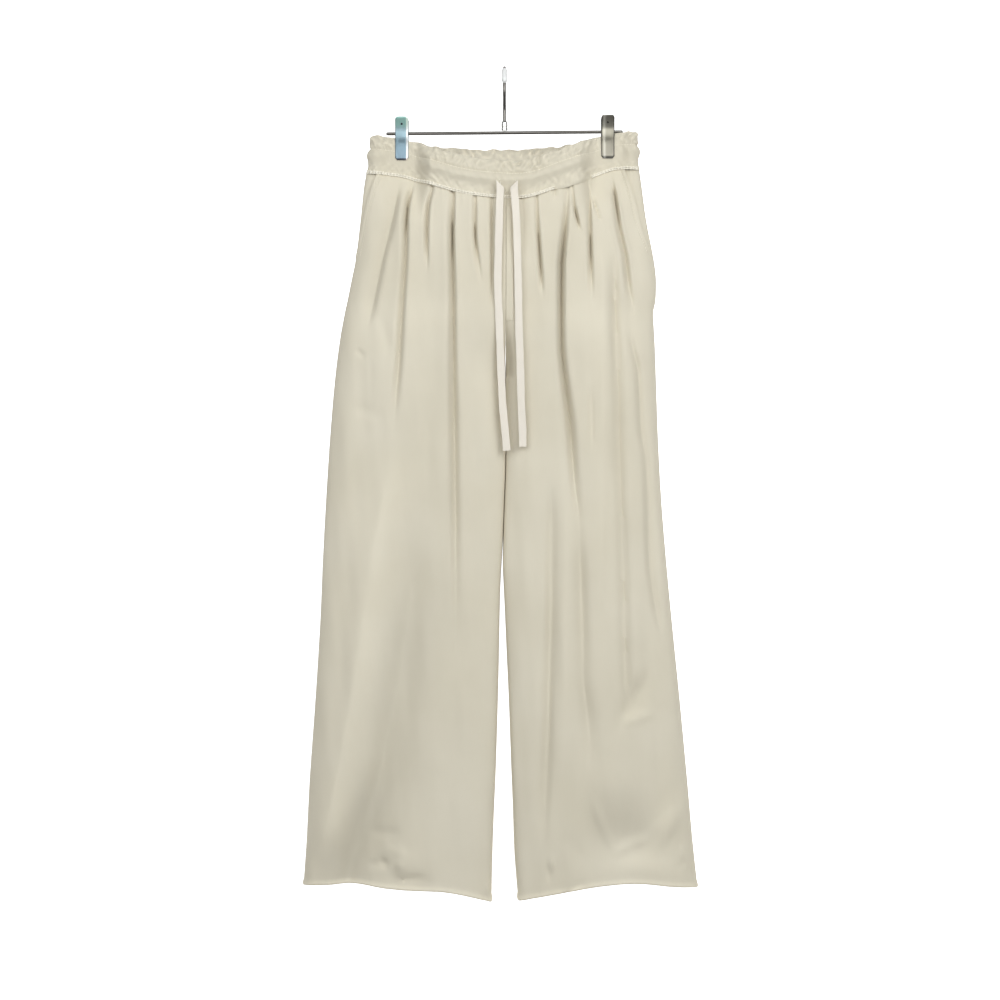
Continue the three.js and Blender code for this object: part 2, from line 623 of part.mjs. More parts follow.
function addPart(name, geometry, finish, place = [0, 0, 0]) {
  const mesh = new THREE.Mesh(geometry, new THREE.MeshStandardMaterial(PALETTE[finish]));
  mesh.name = name;
  mesh.position.set(...place);
  slacks.add(mesh);
  return mesh;
}

// ---- Leg panels ----

function panelGrid(half, face, columns) {
  return panelCourses(half, face).map(({ drop, proud }) => (
    columnShares(half, face, columns, drop).map((share) => ({
      ...clothPoint(half, face, share, drop),
      share,
      drop,
      proud,
    }))
  ));
}

function wallFrom(grid, outerAt, innerAt) {
  const outer = grid.map((row) => row.map((point) => moved(point, outerAt(point))));
  const inner = grid.map((row) => row.map((point) => moved(point, innerAt(point))));
  return wallBetween(outer, inner);
}

function legPanel(grid) {
  return wallFrom(grid, (point) => point.proud, (point) => -CLOTH_WALL - point.proud);
}

// A facing runs from the side seam to behind the front's edge, and sinks under it on the way.
function pocketFacing(half, frontGrid) {
  const { by, at } = FACING_SINK;
  const rows = frontGrid.filter((row) => row[0].drop < FACING_LENGTH).map((row) => {
    const mouth = row[0].share;
    const behind = row.slice(0, FACING_BEHIND).map(({ share }) => share);
    const shares = [0, at / 2 * mouth, at * mouth, ...behind];
    return shares.map((share) => ({
      ...clothPoint(half, 'front', share, row[0].drop),
      sink: by * ease(0, at * mouth, share),
    }));
  });
  return wallFrom(rows, (point) => -point.sink, (point) => -point.sink - FACING_WALL);
}

// The fly strip lies on the right front, beside the centre seam, on that panel's own points.
function flyStrip(frontGrid) {
  const rows = frontGrid.slice(FLY_STRIP.firstCourse, FLY_STRIP.lastCourse + 1);
  const grid = rows.map((row) => row.slice(-FLY_STRIP.columns));
  return wallFrom(grid, () => SEAM_GAP + STRIP_WALL, () => SEAM_GAP);
}

for (const half of HALVES) {
  const front = panelGrid(half, 'front', FRONT_COLUMNS[half.name]);
  const back = panelGrid(half, 'back', BACK_COLUMNS[half.name]);
  addPart(`front_${half.name}`, legPanel(front), 'cloth');
  addPart(`back_${half.name}`, legPanel(back), 'cloth');
  addPart(`pocket_facing_${half.name}`, pocketFacing(half, front), 'cloth');
  if (half.name === 'right') addPart('fly_strip', flyStrip(front), 'cloth');
}

// ---- Waistband ----

// The x of a gather, counted from the centre. Crests are at whole numbers, troughs halfway.
function gatherX(count) {
  return GATHER.pitch * (count + GATHER.uneven * Math.sin(GATHER.beat * count));
}

// The columns of the waistband: the rounded turn at each side seam, then two to each gather.
function bandColumns() {
  const turn = BAND_TURN.map((distance) => ({ distance, wave: 0 }));
  const columns = [];
  for (const half of HALVES) {
    const edge = half.sideEdge(half.waist);
    const width = Math.abs(centreEdge(half.waist) - edge);
    const gathers = [];
    for (let count = -GATHER.most; count <= GATHER.most; count += 0.5) {
      const distance = (gatherX(count) - edge) * half.towardsCentre;
      const wave = Number.isInteger(count) ? 1 : -1;
      if (distance > GATHER.clearOfSeam && distance < width) gathers.push({ distance, wave });
    }
    gathers.sort((a, b) => a.distance - b.distance);
    const list = [...turn, ...gathers].map(({ distance, wave }) => ({ half, share: distance / width, wave }));
    columns.push(...(half.name === 'left' ? list : list.reverse()));
  }
  return columns;
}

// How much of its height the frill keeps at x, where the hanger's bar may press on it.
function frillHeight(face, x) {
  const stitchLine = STITCH_LINE_UP - waistSeam[face](x);
  const room = barZ(x) - BAR.radius - UNDER_BAR.clear - stitchLine;
  const pressed = Math.min(1, room / (BAND_TOP_UP - STITCH_LINE_UP));
  return lerp(1, pressed, ease(UNDER_BAR.blend, 1, Math.abs(x) - BAR.length / 2));
}

function waistband(face) {
  const columns = bandColumns();
  const grid = BAND_COURSES.map(({ up, proud }) => columns.map(({ half, share, wave }) => {
    const point = clothPoint(half, face, share, -SEAM_GAP / 2 - up, 0);
    const aboveStitching = Math.max(up - STITCH_LINE_UP, 0);
    point.at.z -= aboveStitching * (1 - frillHeight(face, point.at.x));
    const frill = GATHER.frill * wave * ease(STITCH_LINE_UP, BAND_TOP_UP, up);
    return { ...point, raised: (proud + frill) * (1 - point.grip) };
  }));
  return wallFrom(grid, (point) => point.raised, (point) => point.raised - BAND_WALL);
}

addPart('waistband_front', waistband('front'), 'cloth');
addPart('waistband_back', waistband('back'), 'cloth');

// ---- Drawstring ----

function tape(points) {
  const { wide, thick, corner, steps } = TAPE;
  const shape = new THREE.Shape([
    [-wide / 2, -thick / 2 + corner], [-wide / 2 + corner, -thick / 2],
    [wide / 2 - corner, -thick / 2], [wide / 2, -thick / 2 + corner],
    [wide / 2, thick / 2 - corner], [wide / 2 - corner, thick / 2],
    [-wide / 2 + corner, thick / 2], [-wide / 2, thick / 2 - corner],
  ].map(([x, y]) => new THREE.Vector2(x, y)));
  const route = new THREE.CatmullRomCurve3(points.map((point) => new THREE.Vector3(...point)));
  return new THREE.ExtrudeGeometry(shape, { steps, extrudePath: route });
}

addPart('drawstring_left', tape(TAPE_LEFT), 'tape');
addPart('drawstring_right', tape(TAPE_RIGHT), 'tape');

// ---- Hanger ----

function barZ(x) {
  return -BAR.down + x * Math.tan(degToRad(BAR.tiltDegrees));
}

function hangerBar() {
  const bar = new THREE.CylinderGeometry(BAR.radius, BAR.radius, BAR.length, BAR.sides);
  bar.rotateZ(Math.PI / 2);
  bar.rotateY(-degToRad(BAR.tiltDegrees));
  return bar;
}

// A point of the hook's arc, from the back over the top to the front.
function hookPoint(degrees) {
  const radius = HOOK.seat + HOOK.wire;
  const turn = degToRad(degrees);
  return new THREE.Vector3(0, radius * Math.cos(turn), radius * Math.sin(turn) - HOOK.seat);
}

function hookArc(from, to, pieces) {
  const angles = Array.from({ length: pieces + 1 }, (_, i) => lerp(from, to, i / pieces));
  return angles.map(hookPoint);
}

function hangerHook() {
  const stem = new THREE.LineCurve3(
    new THREE.Vector3(0, 0, -HOOK.stemDown),
    new THREE.Vector3(0, 0, -HOOK.bendDown),
  );
  const start = hookPoint(HOOK.leanDegrees);
  const corner = new THREE.Vector3(0, 0, start.z - start.y);
  const bend = new THREE.QuadraticBezierCurve3(stem.v2, corner, start);
  const points = [
    ...stem.getPoints(2),
    ...bend.getPoints(HOOK.bendPieces).slice(1),
    ...hookArc(HOOK.leanDegrees, HOOK.tipDegrees, HOOK.arcPieces).slice(1),
  ];
  return rod(HOOK.wire, HOOK.sides, new THREE.CatmullRomCurve3(points), HOOK.steps);
}

function hookSleeve() {
  const { radius, bore, fromDegrees, toDegrees, boreFromDegrees, boreToDegrees, steps, sides } = SLEEVE;
  const outside = new THREE.CatmullRomCurve3(hookArc(fromDegrees, toDegrees, steps));
  const inside = new THREE.CatmullRomCurve3(hookArc(boreFromDegrees, boreToDegrees, steps));
  const tip = hookPoint(toDegrees);
  const cap = new THREE.SphereGeometry(radius, sides, sides / 2).translate(tip.x, tip.y, tip.z);
  return fromManifold(
    toManifold(rod(radius, sides, outside, steps))
      .add(toManifold(cap))
      .subtract(toManifold(rod(bore, sides, inside, steps))),
  );
}

function ferrule() {
  const { radius, top, bottom, bevel, bore, boreBottom, sides } = FERRULE;
  const profile = [
    [0, -bottom], [radius, -bottom], [radius, -top - bevel], [radius - bevel, -top],
    [bore, -top], [bore, -boreBottom], [0, -boreBottom],
  ].map(([r, z]) => new THREE.Vector2(r, z));
  return new THREE.LatheGeometry(profile, sides).rotateX(Math.PI / 2);
}

// An outline in the clip's side view, carried along X.
function slabAlongX(corners, from, depth) {
  const alongX = new THREE.Matrix4().makeBasis(
    new THREE.Vector3(0, 1, 0),
    new THREE.Vector3(0, 0, 1),
    new THREE.Vector3(1, 0, 0),
  );
  const outline = new THREE.Shape(corners.map(({ y, z }) => new THREE.Vector2(y, z)));
  return toManifold(new THREE.ExtrudeGeometry(outline, { depth, bevelEnabled: false })
    .applyMatrix4(alongX)
    .translate(from, 0, 0));
}

// A leaf's front view, with rounded top corners, carried through the whole clip.
function leafWindow() {
  const { wide, above, below, corner } = CLIP;
  const outline = new THREE.Shape();
  outline.moveTo(-wide / 2, -below);
  outline.lineTo(wide / 2, -below);
  outline.lineTo(wide / 2, above - corner);
  outline.absarc(wide / 2 - corner, above - corner, corner, 0, Math.PI / 2, false);
  outline.absarc(-wide / 2 + corner, above - corner, corner, Math.PI / 2, Math.PI, false);
  return toManifold(new THREE.ExtrudeGeometry(outline, {
    depth: CLIP_DEEP,
    bevelEnabled: false,
    curveSegments: 4,
  }).rotateX(Math.PI / 2).translate(0, CLIP_DEEP, 0));
}

// One leaf of a clip, the back one: a plate bent away from the jaw, with a hole near the top and
// two cheeks turned in beside the bar.
function clipLeaf() {
  const { wide, plate, hole, holeUp, cheek } = CLIP;
  const outerLine = LEAF_LINE.map(({ y, z }) => ({ y: y + plate, z })).reverse();
  const cheekCorners = [
    { y: cheek.from, z: cheek.low },
    { y: cheek.to, z: cheek.low },
    { y: cheek.to, z: cheek.high },
    { y: cheek.from, z: cheek.high - cheek.slant },
  ];
  const drill = new THREE.CylinderGeometry(hole, hole, 2 * CLIP_DEEP, 12).translate(0, CLIP_DEEP / 2, holeUp);
  return fromManifold(
    slabAlongX([...LEAF_LINE, ...outerLine], -wide / 2, wide)
      .add(slabAlongX(cheekCorners, -wide / 2, cheek.thick))
      .add(slabAlongX(cheekCorners, wide / 2 - cheek.thick, cheek.thick))
      .intersect(leafWindow())
      .subtract(toManifold(drill)),
  );
}

// The spring of a clip: a sleeve of wound wire round the bar.
function clipSpring() {
  const { bore, radius, half, sides } = CLIP_SPRING;
  const profile = [[bore, -half], [radius, -half], [radius, half], [bore, half], [bore, -half]]
    .map(([r, y]) => new THREE.Vector2(r, y));
  return new THREE.LatheGeometry(profile, sides).rotateZ(Math.PI / 2);
}

addPart('hanger_bar', hangerBar(), 'steel', [0, 0, -BAR.down]);
addPart('hanger_hook', hangerHook(), 'steel');
addPart('hook_sleeve', hookSleeve(), 'plastic');
addPart('hanger_ferrule', ferrule(), 'steel');
for (const { name, x } of CLIPS) {
  const place = [x, 0, barZ(x)];
  addPart(`clip_${name}_back`, clipLeaf(), 'steel', place);
  addPart(`clip_${name}_front`, clipLeaf(), 'steel', place).rotation.z = Math.PI;
  addPart(`clip_${name}_spring`, clipSpring(), 'steel', place);
}

export default slacks;
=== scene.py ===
"""Wide-leg slacks with a pleated front and a gathered drawstring waist, hung from a two-clip hanger.

The frame is the part's own: +Z up, the front faces -Y, left is -X, and the origin is the inside top of
the hanger's hook. The tailor's tables and formulas are in millimetres, and become metres where a mesh is
made. A height is "down", the distance below the origin, or "drop", the distance below the waist seam at
the side. A place across a panel is its "share", 0 at the side seam and 1 at the centre seam or inseam.
"""
import math

import bpy
import numpy as np
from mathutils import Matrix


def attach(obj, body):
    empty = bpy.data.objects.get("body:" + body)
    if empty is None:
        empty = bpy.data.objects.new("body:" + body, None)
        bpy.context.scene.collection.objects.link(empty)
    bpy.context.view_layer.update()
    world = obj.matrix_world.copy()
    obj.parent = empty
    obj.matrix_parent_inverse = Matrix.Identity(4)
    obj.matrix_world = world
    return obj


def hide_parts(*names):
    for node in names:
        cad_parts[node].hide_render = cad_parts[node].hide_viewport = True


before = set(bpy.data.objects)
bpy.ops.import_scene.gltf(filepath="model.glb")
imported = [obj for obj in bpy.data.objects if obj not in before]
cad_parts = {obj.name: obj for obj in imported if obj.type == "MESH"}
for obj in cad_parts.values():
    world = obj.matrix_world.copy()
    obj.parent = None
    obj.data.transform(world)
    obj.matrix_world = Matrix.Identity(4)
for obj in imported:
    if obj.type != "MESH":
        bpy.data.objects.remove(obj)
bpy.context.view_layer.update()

MM = 0.001
EDGE_GAP = 0.1  # between two pieces along a seam, in millimetres

# ---- Cloth sizes, in millimetres ----

SEAM_GAP = 0.3
CLOTH_WALL = 1.2
BAND_WALL = 3.0
FACING_WALL = 1.0
STRIP_WALL = 0.9
CROTCH_DOWN = 388
RISE_CURVE_DOWN = 285  # where the centre seams start to curve towards the crotch
THIGHS_TOUCH = {"by": 0.22, "from": 570, "to": 612}
WAIST_EASE = 200  # drop over which the dip of the waist seam dies out
INNER_SQUARE = 0.36  # power of the section's sine towards the inseam, which makes it squarer
HEM_EASE = 250  # height over which the hem's slope dies out
FACING = {"long": 108, "courses": 60, "across": 30, "behind_column": 14, "least": 0.03, "crowding": 1.3,
          "sunk": 2.35, "sunk_by": 0.7}
FLY_STRIP = {"top": 9, "low": 190, "from_x": 11.4, "courses": 130, "across": 24, "lift": 0.15, "taper": 0.12}
STRIP_SEW = {"from_edge": 2.2, "wide": 0.6, "deep": 0.25}  # the sewn groove beside the strip's edge
SEAM_SINK = {"deep": 0.55, "wide": 1.3, "pucker": 0.3, "pitch": 2.3}  # how a panel sinks into its seams
POCKET_TURN = {"groove": 0.45, "wide": 0.8, "at": 5.5, "proud": 0.5, "inner": 3.5}  # the mouth's turned edge


def table(names, rows):
    """The columns of a table by name, each as an array."""
    return dict(zip(names.split(), np.array(rows, float).T))


WAIST_DOWN = {"left": 130.5, "right": 126.2}
HEM_DOWN = {"left": 1018, "right": 1021}
SIDE_EDGE = table("down left right", [
    (78, -166.5, 165.4), (90, -166.8, 165.8), (118, -170.6, 167.6), (148, -175.6, 171.6),
    (188, -179.8, 177), (238, -186, 186.5), (263, -191, 189.4), (288, -196, 188.8),
    (304, -199.5, 186), (338, -205.6, 187.6), (388, -211.9, 189.4), (463, -218.2, 192),
    (538, -223, 196), (613, -227, 202), (688, -230.2, 209), (788, -236.4, 219),
    (888, -243.6, 228.4), (963, -247.4, 235), (1021, -251.4, 241.2),
])
CENTRE_EDGE = table("down x", [(78, 2), (250, 2), (388, 1.1)])
INSEAM_EDGE = table("down left right", [
    (388, 0.9, 1.3), (488, 1.5, 1.9), (538, -0.2, 0.2), (588, -2, -1.6), (618, -3.6, -2.2),
    (640, -4.8, -1.3), (663, -5.6, -0.2), (738, -7, 3.1),
    (788, -8.2, 5.4), (863, -10.6, 8.2), (913, -13, 10.4), (963, -15, 12.2), (1021, -16.3, 16.9),
])
FULLNESS = table("down front back", [
    (78, 27, 27), (130, 30, 29), (220, 35, 32), (313, 36, 33), (388, 34, 32), (500, 30, 30),
    (700, 29, 29), (888, 31, 31), (1021, 34, 33),
])
WAIST_SEAM = table("x front back", [
    (-173, 130.5, 130.5), (-130, 135, 136.5), (-97, 145, 140), (-50, 158.5, 143.5), (0, 164, 144.5),
    (30, 163, 143.5), (63, 152, 141), (86, 143.5, 137.5), (109, 135.8, 133.5), (138, 126.2, 129),
    (169, 126.2, 126.2),
])
HEM_LINE = table("share left right", [
    (0, 1018, 1021), (0.15, 1016, 1018), (0.3, 1014.5, 1013.8), (0.45, 1019, 1013.8),
    (0.6, 1021.5, 1018), (0.75, 1023.5, 1024.5), (0.9, 1030.5, 1031), (1, 1038, 1036),
])
POCKET_MOUTH = table("drop left right", [
    (0, -159, 150), (36, -171.3, 161.5), (66, -177.8, 168.6), (88, -182.2, 177), (106, -186, 184.4),
])

# Folds, from top to bottom along their path of (drop, x). Depth is how far the trough goes in, or the
# ridge out where it is negative. The steep side is the +X side of a trough. Begin is the share of the
# depth at the top, rise is where it is full, fade how it ends, and slit where the pleat's edges meet,
# from one drop to another, so that its line is a dark slit.
FOLD_COLUMNS = "name depth steep soft begin rise fade slit path".split()
FRONT_FOLDS = [dict(zip(FOLD_COLUMNS, row)) for row in [
    ("pocket_sweep", 5.5, 6, 15, 0.4, 40, 45, 0,
     [(0, -130), (53, -139), (108, -152), (170, -164.5), (200, -171)]),
    ("side_pleat_left", 7, 4.5, 6.5, 0.5, 25, 90, (26, 84),
     [(0, -113), (38, -120), (108, -123), (170, -127), (232, -130.5), (330, -138)]),
    ("short_pleat_left", 6.5, 2.6, 5, 0.5, 24, 60, 0, [(0, -89), (35, -95), (125, -96)]),
    ("long_pleat_left", 9, 4, 7, 0.5, 50, 300, (36, 112),
     [(0, -62.5), (60, -64), (170, -63.2), (294, -62.5), (464, -60.5), (640, -59)]),
    ("inner_pleat_left", 4.5, 3.5, 5.5, 0.6, 20, 60, (32, 88), [(0, -35.5), (60, -35.5), (135, -28)]),
    ("string_fold_left", 4.5, 2.6, 4, 0.5, 25, 90, 0, [(0, -15), (190, -15)]),
    ("centre_valley", 6, 10, 10, 0, 80, 6, 0, [(150, 1.8), (262, 1.1)]),
    ("string_fold_right", 1, 5, 7, 0.5, 30, 90, 0, [(0, 23), (210, 26)]),
    ("inner_pleat_right", 5, 3.5, 5, 0.5, 50, 50, (48, 150), [(0, 40), (23, 41), (78, 43.5), (165, 47.5)]),
    ("tuck_right", 2.5, 3, 4, 1, 5, 12, 0, [(0, 63), (18, 63)]),
    ("long_pleat_right", 12, 4, 6.2, 0.15, 100, 220, 0,
     [(0, 80), (38, 76.5), (62, 75), (94, 72.3), (112, 71), (218, 71), (250, 73.5), (287, 78), (325, 82),
      (362, 84.5), (400, 88), (437, 93), (500, 95)]),
    ("facet_crease_right", 3.5, 3, 4, 0.3, 25, 30, (28, 68),
     [(0, 84), (37, 88), (50, 90.5), (62, 93), (76, 96)]),
    ("outer_pleat_right", 5.5, 3.5, 5, 0.3, 60, 60, (70, 126),
     [(0, 104), (23, 106), (128, 107.5), (172, 109)]),
    ("side_pleat_right", 6, 4.5, 7, 0.4, 30, 60, (16, 84),
     [(0, 132), (25, 137), (50, 140.3), (75, 143.5), (94, 147.4), (112, 151), (137, 153.6), (162, 157.4),
      (188, 161.5)]),
    ("hip_valley_right", 6, 7, 8, 0, 90, 60, 0,
     [(75, 136), (112, 137), (187, 137.5), (325, 142), (437, 146), (600, 150), (690, 153)]),
    ("thigh_valley_left", 2, 16, 20, 0, 60, 80, 0, [(265, -95), (480, -97)]),
    ("knee_ridge_left", -9, 23, 24, 0, 120, 60, 0,
     [(340, -138), (428, -156), (583, -178), (675, -193), (764, -211), (870, -234)]),
    ("shin_valley_left", 11, 40, 22, 0, 220, 4, 0,
     [(380, -108), (500, -112), (533, -116), (633, -132), (733, -150), (808, -172), (892, -196)]),
    ("inner_valley_right", 5.5, 7, 8, 0, 60, 120, 0, [(380, 58.5), (470, 58.5), (620, 56), (860, 48)]),
    ("inner_ridge_right", -2, 9, 9, 0, 80, 160, 0, [(340, 76), (800, 72)]),
    ("middle_valley_right", 5.5, 9, 10, 0, 60, 90, 0,
     [(437, 93), (487, 94), (537, 95.5), (590, 97), (637, 97.5), (675, 102), (712, 104.5), (760, 107)]),
    ("middle_ridge_right", -3, 11, 11, 0, 60, 200, 0, [(70, 121), (600, 122)]),
    ("outer_crease_right", 4.5, 5, 6, 0, 50, 50, 0,
     [(190, 155), (218, 158), (250, 165.5), (325, 170), (362, 176), (487, 180), (525, 185), (562, 191),
      (592, 197)]),
]]
BACK_FOLDS = [dict(zip(FOLD_COLUMNS, row)) for row in [
    ("seat_gather_a", 3.5, 6, 9, 0.5, 20, 80, (2, 25), [(0, -143), (150, -152)]),
    ("seat_fold_left", 5, 6, 11, 0.5, 30, 130, (2, 45), [(0, -112), (240, -119)]),
    ("seat_gather_b", 3, 5, 8, 0.5, 20, 60, (2, 20), [(0, -85), (110, -87)]),
    ("seat_pleat_left", 6, 6, 13, 0.4, 40, 260, (2, 55), [(0, -57), (200, -59), (430, -62)]),
    ("seat_gather_left", 3.5, 5, 9, 0.5, 20, 70, (2, 30), [(0, -27), (140, -24)]),
    ("seat_gather_right", 3.5, 5, 9, 0.5, 20, 70, (2, 25), [(0, 27), (120, 29)]),
    ("seat_pleat_right", 6, 6, 13, 0.4, 40, 220, (2, 50), [(0, 56), (180, 60), (360, 65)]),
    ("seat_gather_c", 4, 5, 9, 0.5, 20, 90, (2, 35), [(0, 84), (165, 86)]),
    ("seat_fold_right", 5, 6, 11, 0.5, 30, 140, (2, 40), [(0, 112), (260, 121)]),
    ("seat_gather_d", 3.5, 6, 9, 0.5, 20, 70, (2, 20), [(0, 142), (130, 151)]),
    ("calf_valley_left", 4.5, 24, 20, 0, 120, 60, 0, [(300, -108), (600, -118), (892, -136)]),
    ("calf_ridge_left", -4, 18, 20, 0, 150, 60, 0, [(360, -165), (892, -196)]),
    ("calf_valley_right", 4.5, 22, 22, 0, 120, 60, 0, [(320, 104), (600, 112), (895, 132)]),
    ("calf_ridge_right", -4, 20, 18, 0, 150, 60, 0, [(380, 158), (895, 186)]),
]]
FOLD_LIFT = {"at_seam": 1.2, "below": 0.5, "from": 90, "to": 320}  # how the cloth beside a trough swells
FOLD_OPENS = {"by": 1.7, "from": 150, "to": 450}  # a steep side widens on its way down
FOLD_LIMIT = 0.7  # a trough's depth, at most, as a share of the cloth's fullness there
CRISP = {"at_seam": 0.5, "below": 160}  # a pleat's steep side is narrowest at the waist seam
SLIT = {"wide": 1.15, "deep": 4.5, "opens": 16, "beside": 0.4, "closes": 0.45}
FOLD_POINTED = 1.6  # power of the distance in a fold: 2 is round at the bottom, 1 is a sharp V

# Dents and swells that are as wide as they are tall. Lean is the x moved for each mm down.
DENTS = {
    "front": table("drop x wide tall lean depth", [
        (661, 160, 11, 28, -0.45, 6), (846, 154, 42, 38, 0.1, 9), (888, -197, 36, 62, -0.35, 3.5),
        (824, 203, 9, 28, -0.6, -3.5), (874, 166, 40, 13, 0, -3), (850, -126, 18, 13, 0.4, -2.5),
        (874, -120, 24, 8, 0, 3),
    ]),
    "back": table("drop x wide tall lean depth", [
        (150, -60, 30, 40, 0.1, -2), (160, 66, 30, 42, -0.1, -2), (760, -150, 36, 34, 0.2, 4),
        (700, 140, 34, 40, -0.2, 4),
    ]),
}

PAINTED_SHADE_SPREAD = 1.1  # how far a fold's painted shade reaches past the fold
PAINTED_SHADE_RISE = 30  # the painted shade is full this far down a fold at the soonest
# Painted shade where the cloth lies slack, and painted light where it stands out: a soft-edged patch.
PAINTED_SHADE_PATCHES = {
    "front": table("drop x wide tall lean depth", [
        (822, -186, 24, 62, -0.45, 8), (805, 144, 38, 36, 0.1, 8), (800, 205, 16, 30, -0.5, -4),
        (858, 178, 44, 26, 0, -5), (856, -126, 14, 16, 0.4, -4), (876, -114, 26, 9, -0.3, 5),
    ]),
    "back": table("drop x wide tall lean depth", [(830, -160, 30, 50, -0.3, 6), (815, 160, 32, 46, 0.3, 6)]),
}

# Short thin creases, straight from one place to another: a trough, or a ridge where depth is negative.
CREASES = {
    "front": table("x1 down1 x2 down2 wide depth", [
        (106.9, 144, 120, 191, 1.8, 3.4), (107, 400, 108, 470, 3.5, 2.4),
        (-165.6, 356, -165, 426, 2.6, 0.8), (-152.4, 980, -146, 996, 5, 2),
        (-170, 993, -141, 985, 4.5, 2.4), (-168, 952, -128, 948, 6, 1.6), (-150, 968, -118, 975, 6, -1.4),
        (-142, 1010, -100, 1001, 3, 2.4), (-132, 981, -128, 995, 6, -2),
        (-24, 1010, -22, 1028, 3.5, 2.8), (-21.5, 995, -20.5, 1010, 3, -2),
        (109, 913, 134, 978, 6, -2), (134, 984, 182, 961, 6, -2.4), (182, 961, 214, 921, 7, -2.4),
        (148, 817, 184, 802, 5, -2.2), (150, 806, 172, 790, 5, 1.4), (76, 950, 96, 990, 8, 1.4),
        (72, 1023, 99, 1012, 3, 2.2), (54, 985, 56, 1005, 3, 2.4), (57.5, 972, 58.5, 990, 3, -2),
        (232, 985, 233.5, 1008, 3.5, 2.8), (221, 968, 223, 990, 4, -2.2), (214, 1000, 226, 985, 4, 1.6),
        (-158, 300, -140, 360, 7, 1.4), (-184, 352, -173, 361, 3.5, 1.5), (-192, 420, -150, 436, 8, 1.2),
    ]),
    "back": table("x1 down1 x2 down2 wide depth", [
        (-60, 330, -14, 372, 6, 1.4), (62, 335, 16, 374, 6, 1.4), (-130, 985, -96, 1000, 4, 1.6),
        (118, 992, 92, 1003, 4, 1.5), (150, 300, 168, 340, 6, 1.2), (-152, 310, -172, 356, 6, 1.2),
    ]),
}

# Broad soft unevenness of the hanging cloth: a wave across, turned by its slant.
RIPPLES = table("pitch slant size phase", [
    (61, 0.06, 0.55, 0.4), (43, -0.05, 0.45, 2.1), (29, 0.08, 0.28, 4.4), (19, -0.1, 0.14, 1.2),
    (137, 0.9, 0.5, 3.3), (92, -0.7, 0.35, 5.1),
])
PUCKERS = table("pitch size phase", [(8.7, 0.32, 0.3), (5.9, 0.26, 1.9), (4.3, 0.14, 4.0)])
PUCKER_FADE = 13  # drop over which the puckers below the waist seam die out

# The columns of each panel follow its folds, with this many steps up to each of them.
COLUMNS = {
    ("front", "left"): [
        ("pocket_sweep", 25), ("side_pleat_left", 20), ("short_pleat_left", 18), ("long_pleat_left", 24),
        ("inner_pleat_left", 20), ("string_fold_left", 14), ("seam", 14),
    ],
    ("front", "right"): [
        ("side_pleat_right", 26), ("outer_pleat_right", 24), ("facet_crease_right", 8),
        ("long_pleat_right", 14), ("inner_pleat_right", 22), ("string_fold_right", 14), ("seam", 22),
    ],
    ("back", "left"): [
        ("seat_fold_left", 40), ("seat_pleat_left", 32), ("seat_gather_left", 20), ("seam", 18),
    ],
    ("back", "right"): [
        ("seat_fold_right", 40), ("seat_pleat_right", 32), ("seat_gather_right", 20), ("seam", 18),
    ],
}
COLUMN_CROWDING = 0.6
# The courses of a panel: how many, down to each drop below the waist seam. The last run to the hem.
COURSES = {"front": [(46, 60), (72, 262), (150, None)], "back": [(34, 60), (56, 262), (120, None)]}
HEM_ROLL = {"tall": 3.4, "proud": 1.25, "courses": 9}
HEM_SEW = {"deep": 0.45, "above": 1.5, "wide": 1.1, "pucker": 0.18}  # the sewn groove above the roll
# Painted light and shade at the hem: the rolled edge is painted palest, a painted highlight, with a painted
# shade above it.
HEM_PAINTED_SHADE = {"edge": -16.0, "under": 9.0, "above": 1.8, "wide": 1.3}

# ---- Waistband, in millimetres ----

BAND_TOP_UP = 48
STITCH_LINE_UP = 31
BAND_PROFILE = table("up proud", [
    (0, 0.2), (3, 0.2), (5, -0.3), (10, -0.5), (15, 0.4), (19, 2), (22, 3), (25, 2.9), (28, 1.9),
    (30, 0.4), (31, -0.7), (32, -0.4), (34, 0.6), (38, 1.2), (44, 0.9), (48, 0),
])
BAND_GRID = {"across": 250, "courses": 66}
BAND_LEAN = {"front": 4.2, "back": -3.5}  # how far the header leans in at its top, or out
UNDER_BAR = {"clear": 2.4, "blend": 8}
# Gathers across the band: where they are fullest, how far they reach up and down, and their slant.
BAND_GATHERS = table("pitch beat size phase at reach slant", [
    (12.8, 2.1, 0.9, 0.0, 48, 12, 0.25), (7.9, 1.7, 0.6, 1.1, 43, 9, -0.5),
    (5.3, 2.9, 0.35, 0.5, 36, 6, 0.3), (4.1, 3.3, 0.35, 2.2, 31, 4, 0.0),
    (10.6, 1.3, 0.3, 0.7, 24, 7, 0.4), (9.2, 2.3, 0.3, 2.6, 9, 5, 0.6),
    (6.4, 1.9, 0.2, 4.1, 7, 5, -0.7), (4.6, 2.7, 0.25, 0.2, 3, 3, 0.2),
])
# Crumpled facets, as rounded zigzags over the header and above the seam: fullest at a height, and within
# a reach of it.
CRUMPLES = table("pitch tall lean size at reach", [
    (15.5, 11, 0.5, 2.3, 41, 9), (9.7, 8, -0.7, 1.5, 42, 9), (14.3, 9.5, 0.45, 1.2, 8, 6),
    (8.9, 7, -0.6, 0.8, 8, 5), (21, 15, -0.4, 0.7, 21, 8),
])
BAND_PAINTED_SHADE = 6.0  # painted shade: the gathered band's colour is painted dimmer than the hanging cloth's
BAND_PAINTED_CONTRAST = 8.0  # painted light and shade: how much paler a wrinkle's crest is painted than its trough
BAND_EDGE = {"rounded": 1.4, "steps": 6}  # the header's folded top
BAND_TOP_WAVE = {"from": 36, "big": 0.9, "small": 0.5}  # how unevenly the header's top runs
INSIDE_CALM = 0.7  # share of the outside's crumples that shows on the inside
UNDER_LEAF = {"half": 9.5, "blend": 14, "down": 116, "gone_down": 126}
SEAM_ENDS = (-171, 167)  # how far the overlock runs across
CHANNEL_ENDS = (-168, 165)
BAND_SAG = {"x": 85, "wide": 20, "down": 4.2, "proud": 2.4, "up": 12}  # a soft fold over the seam
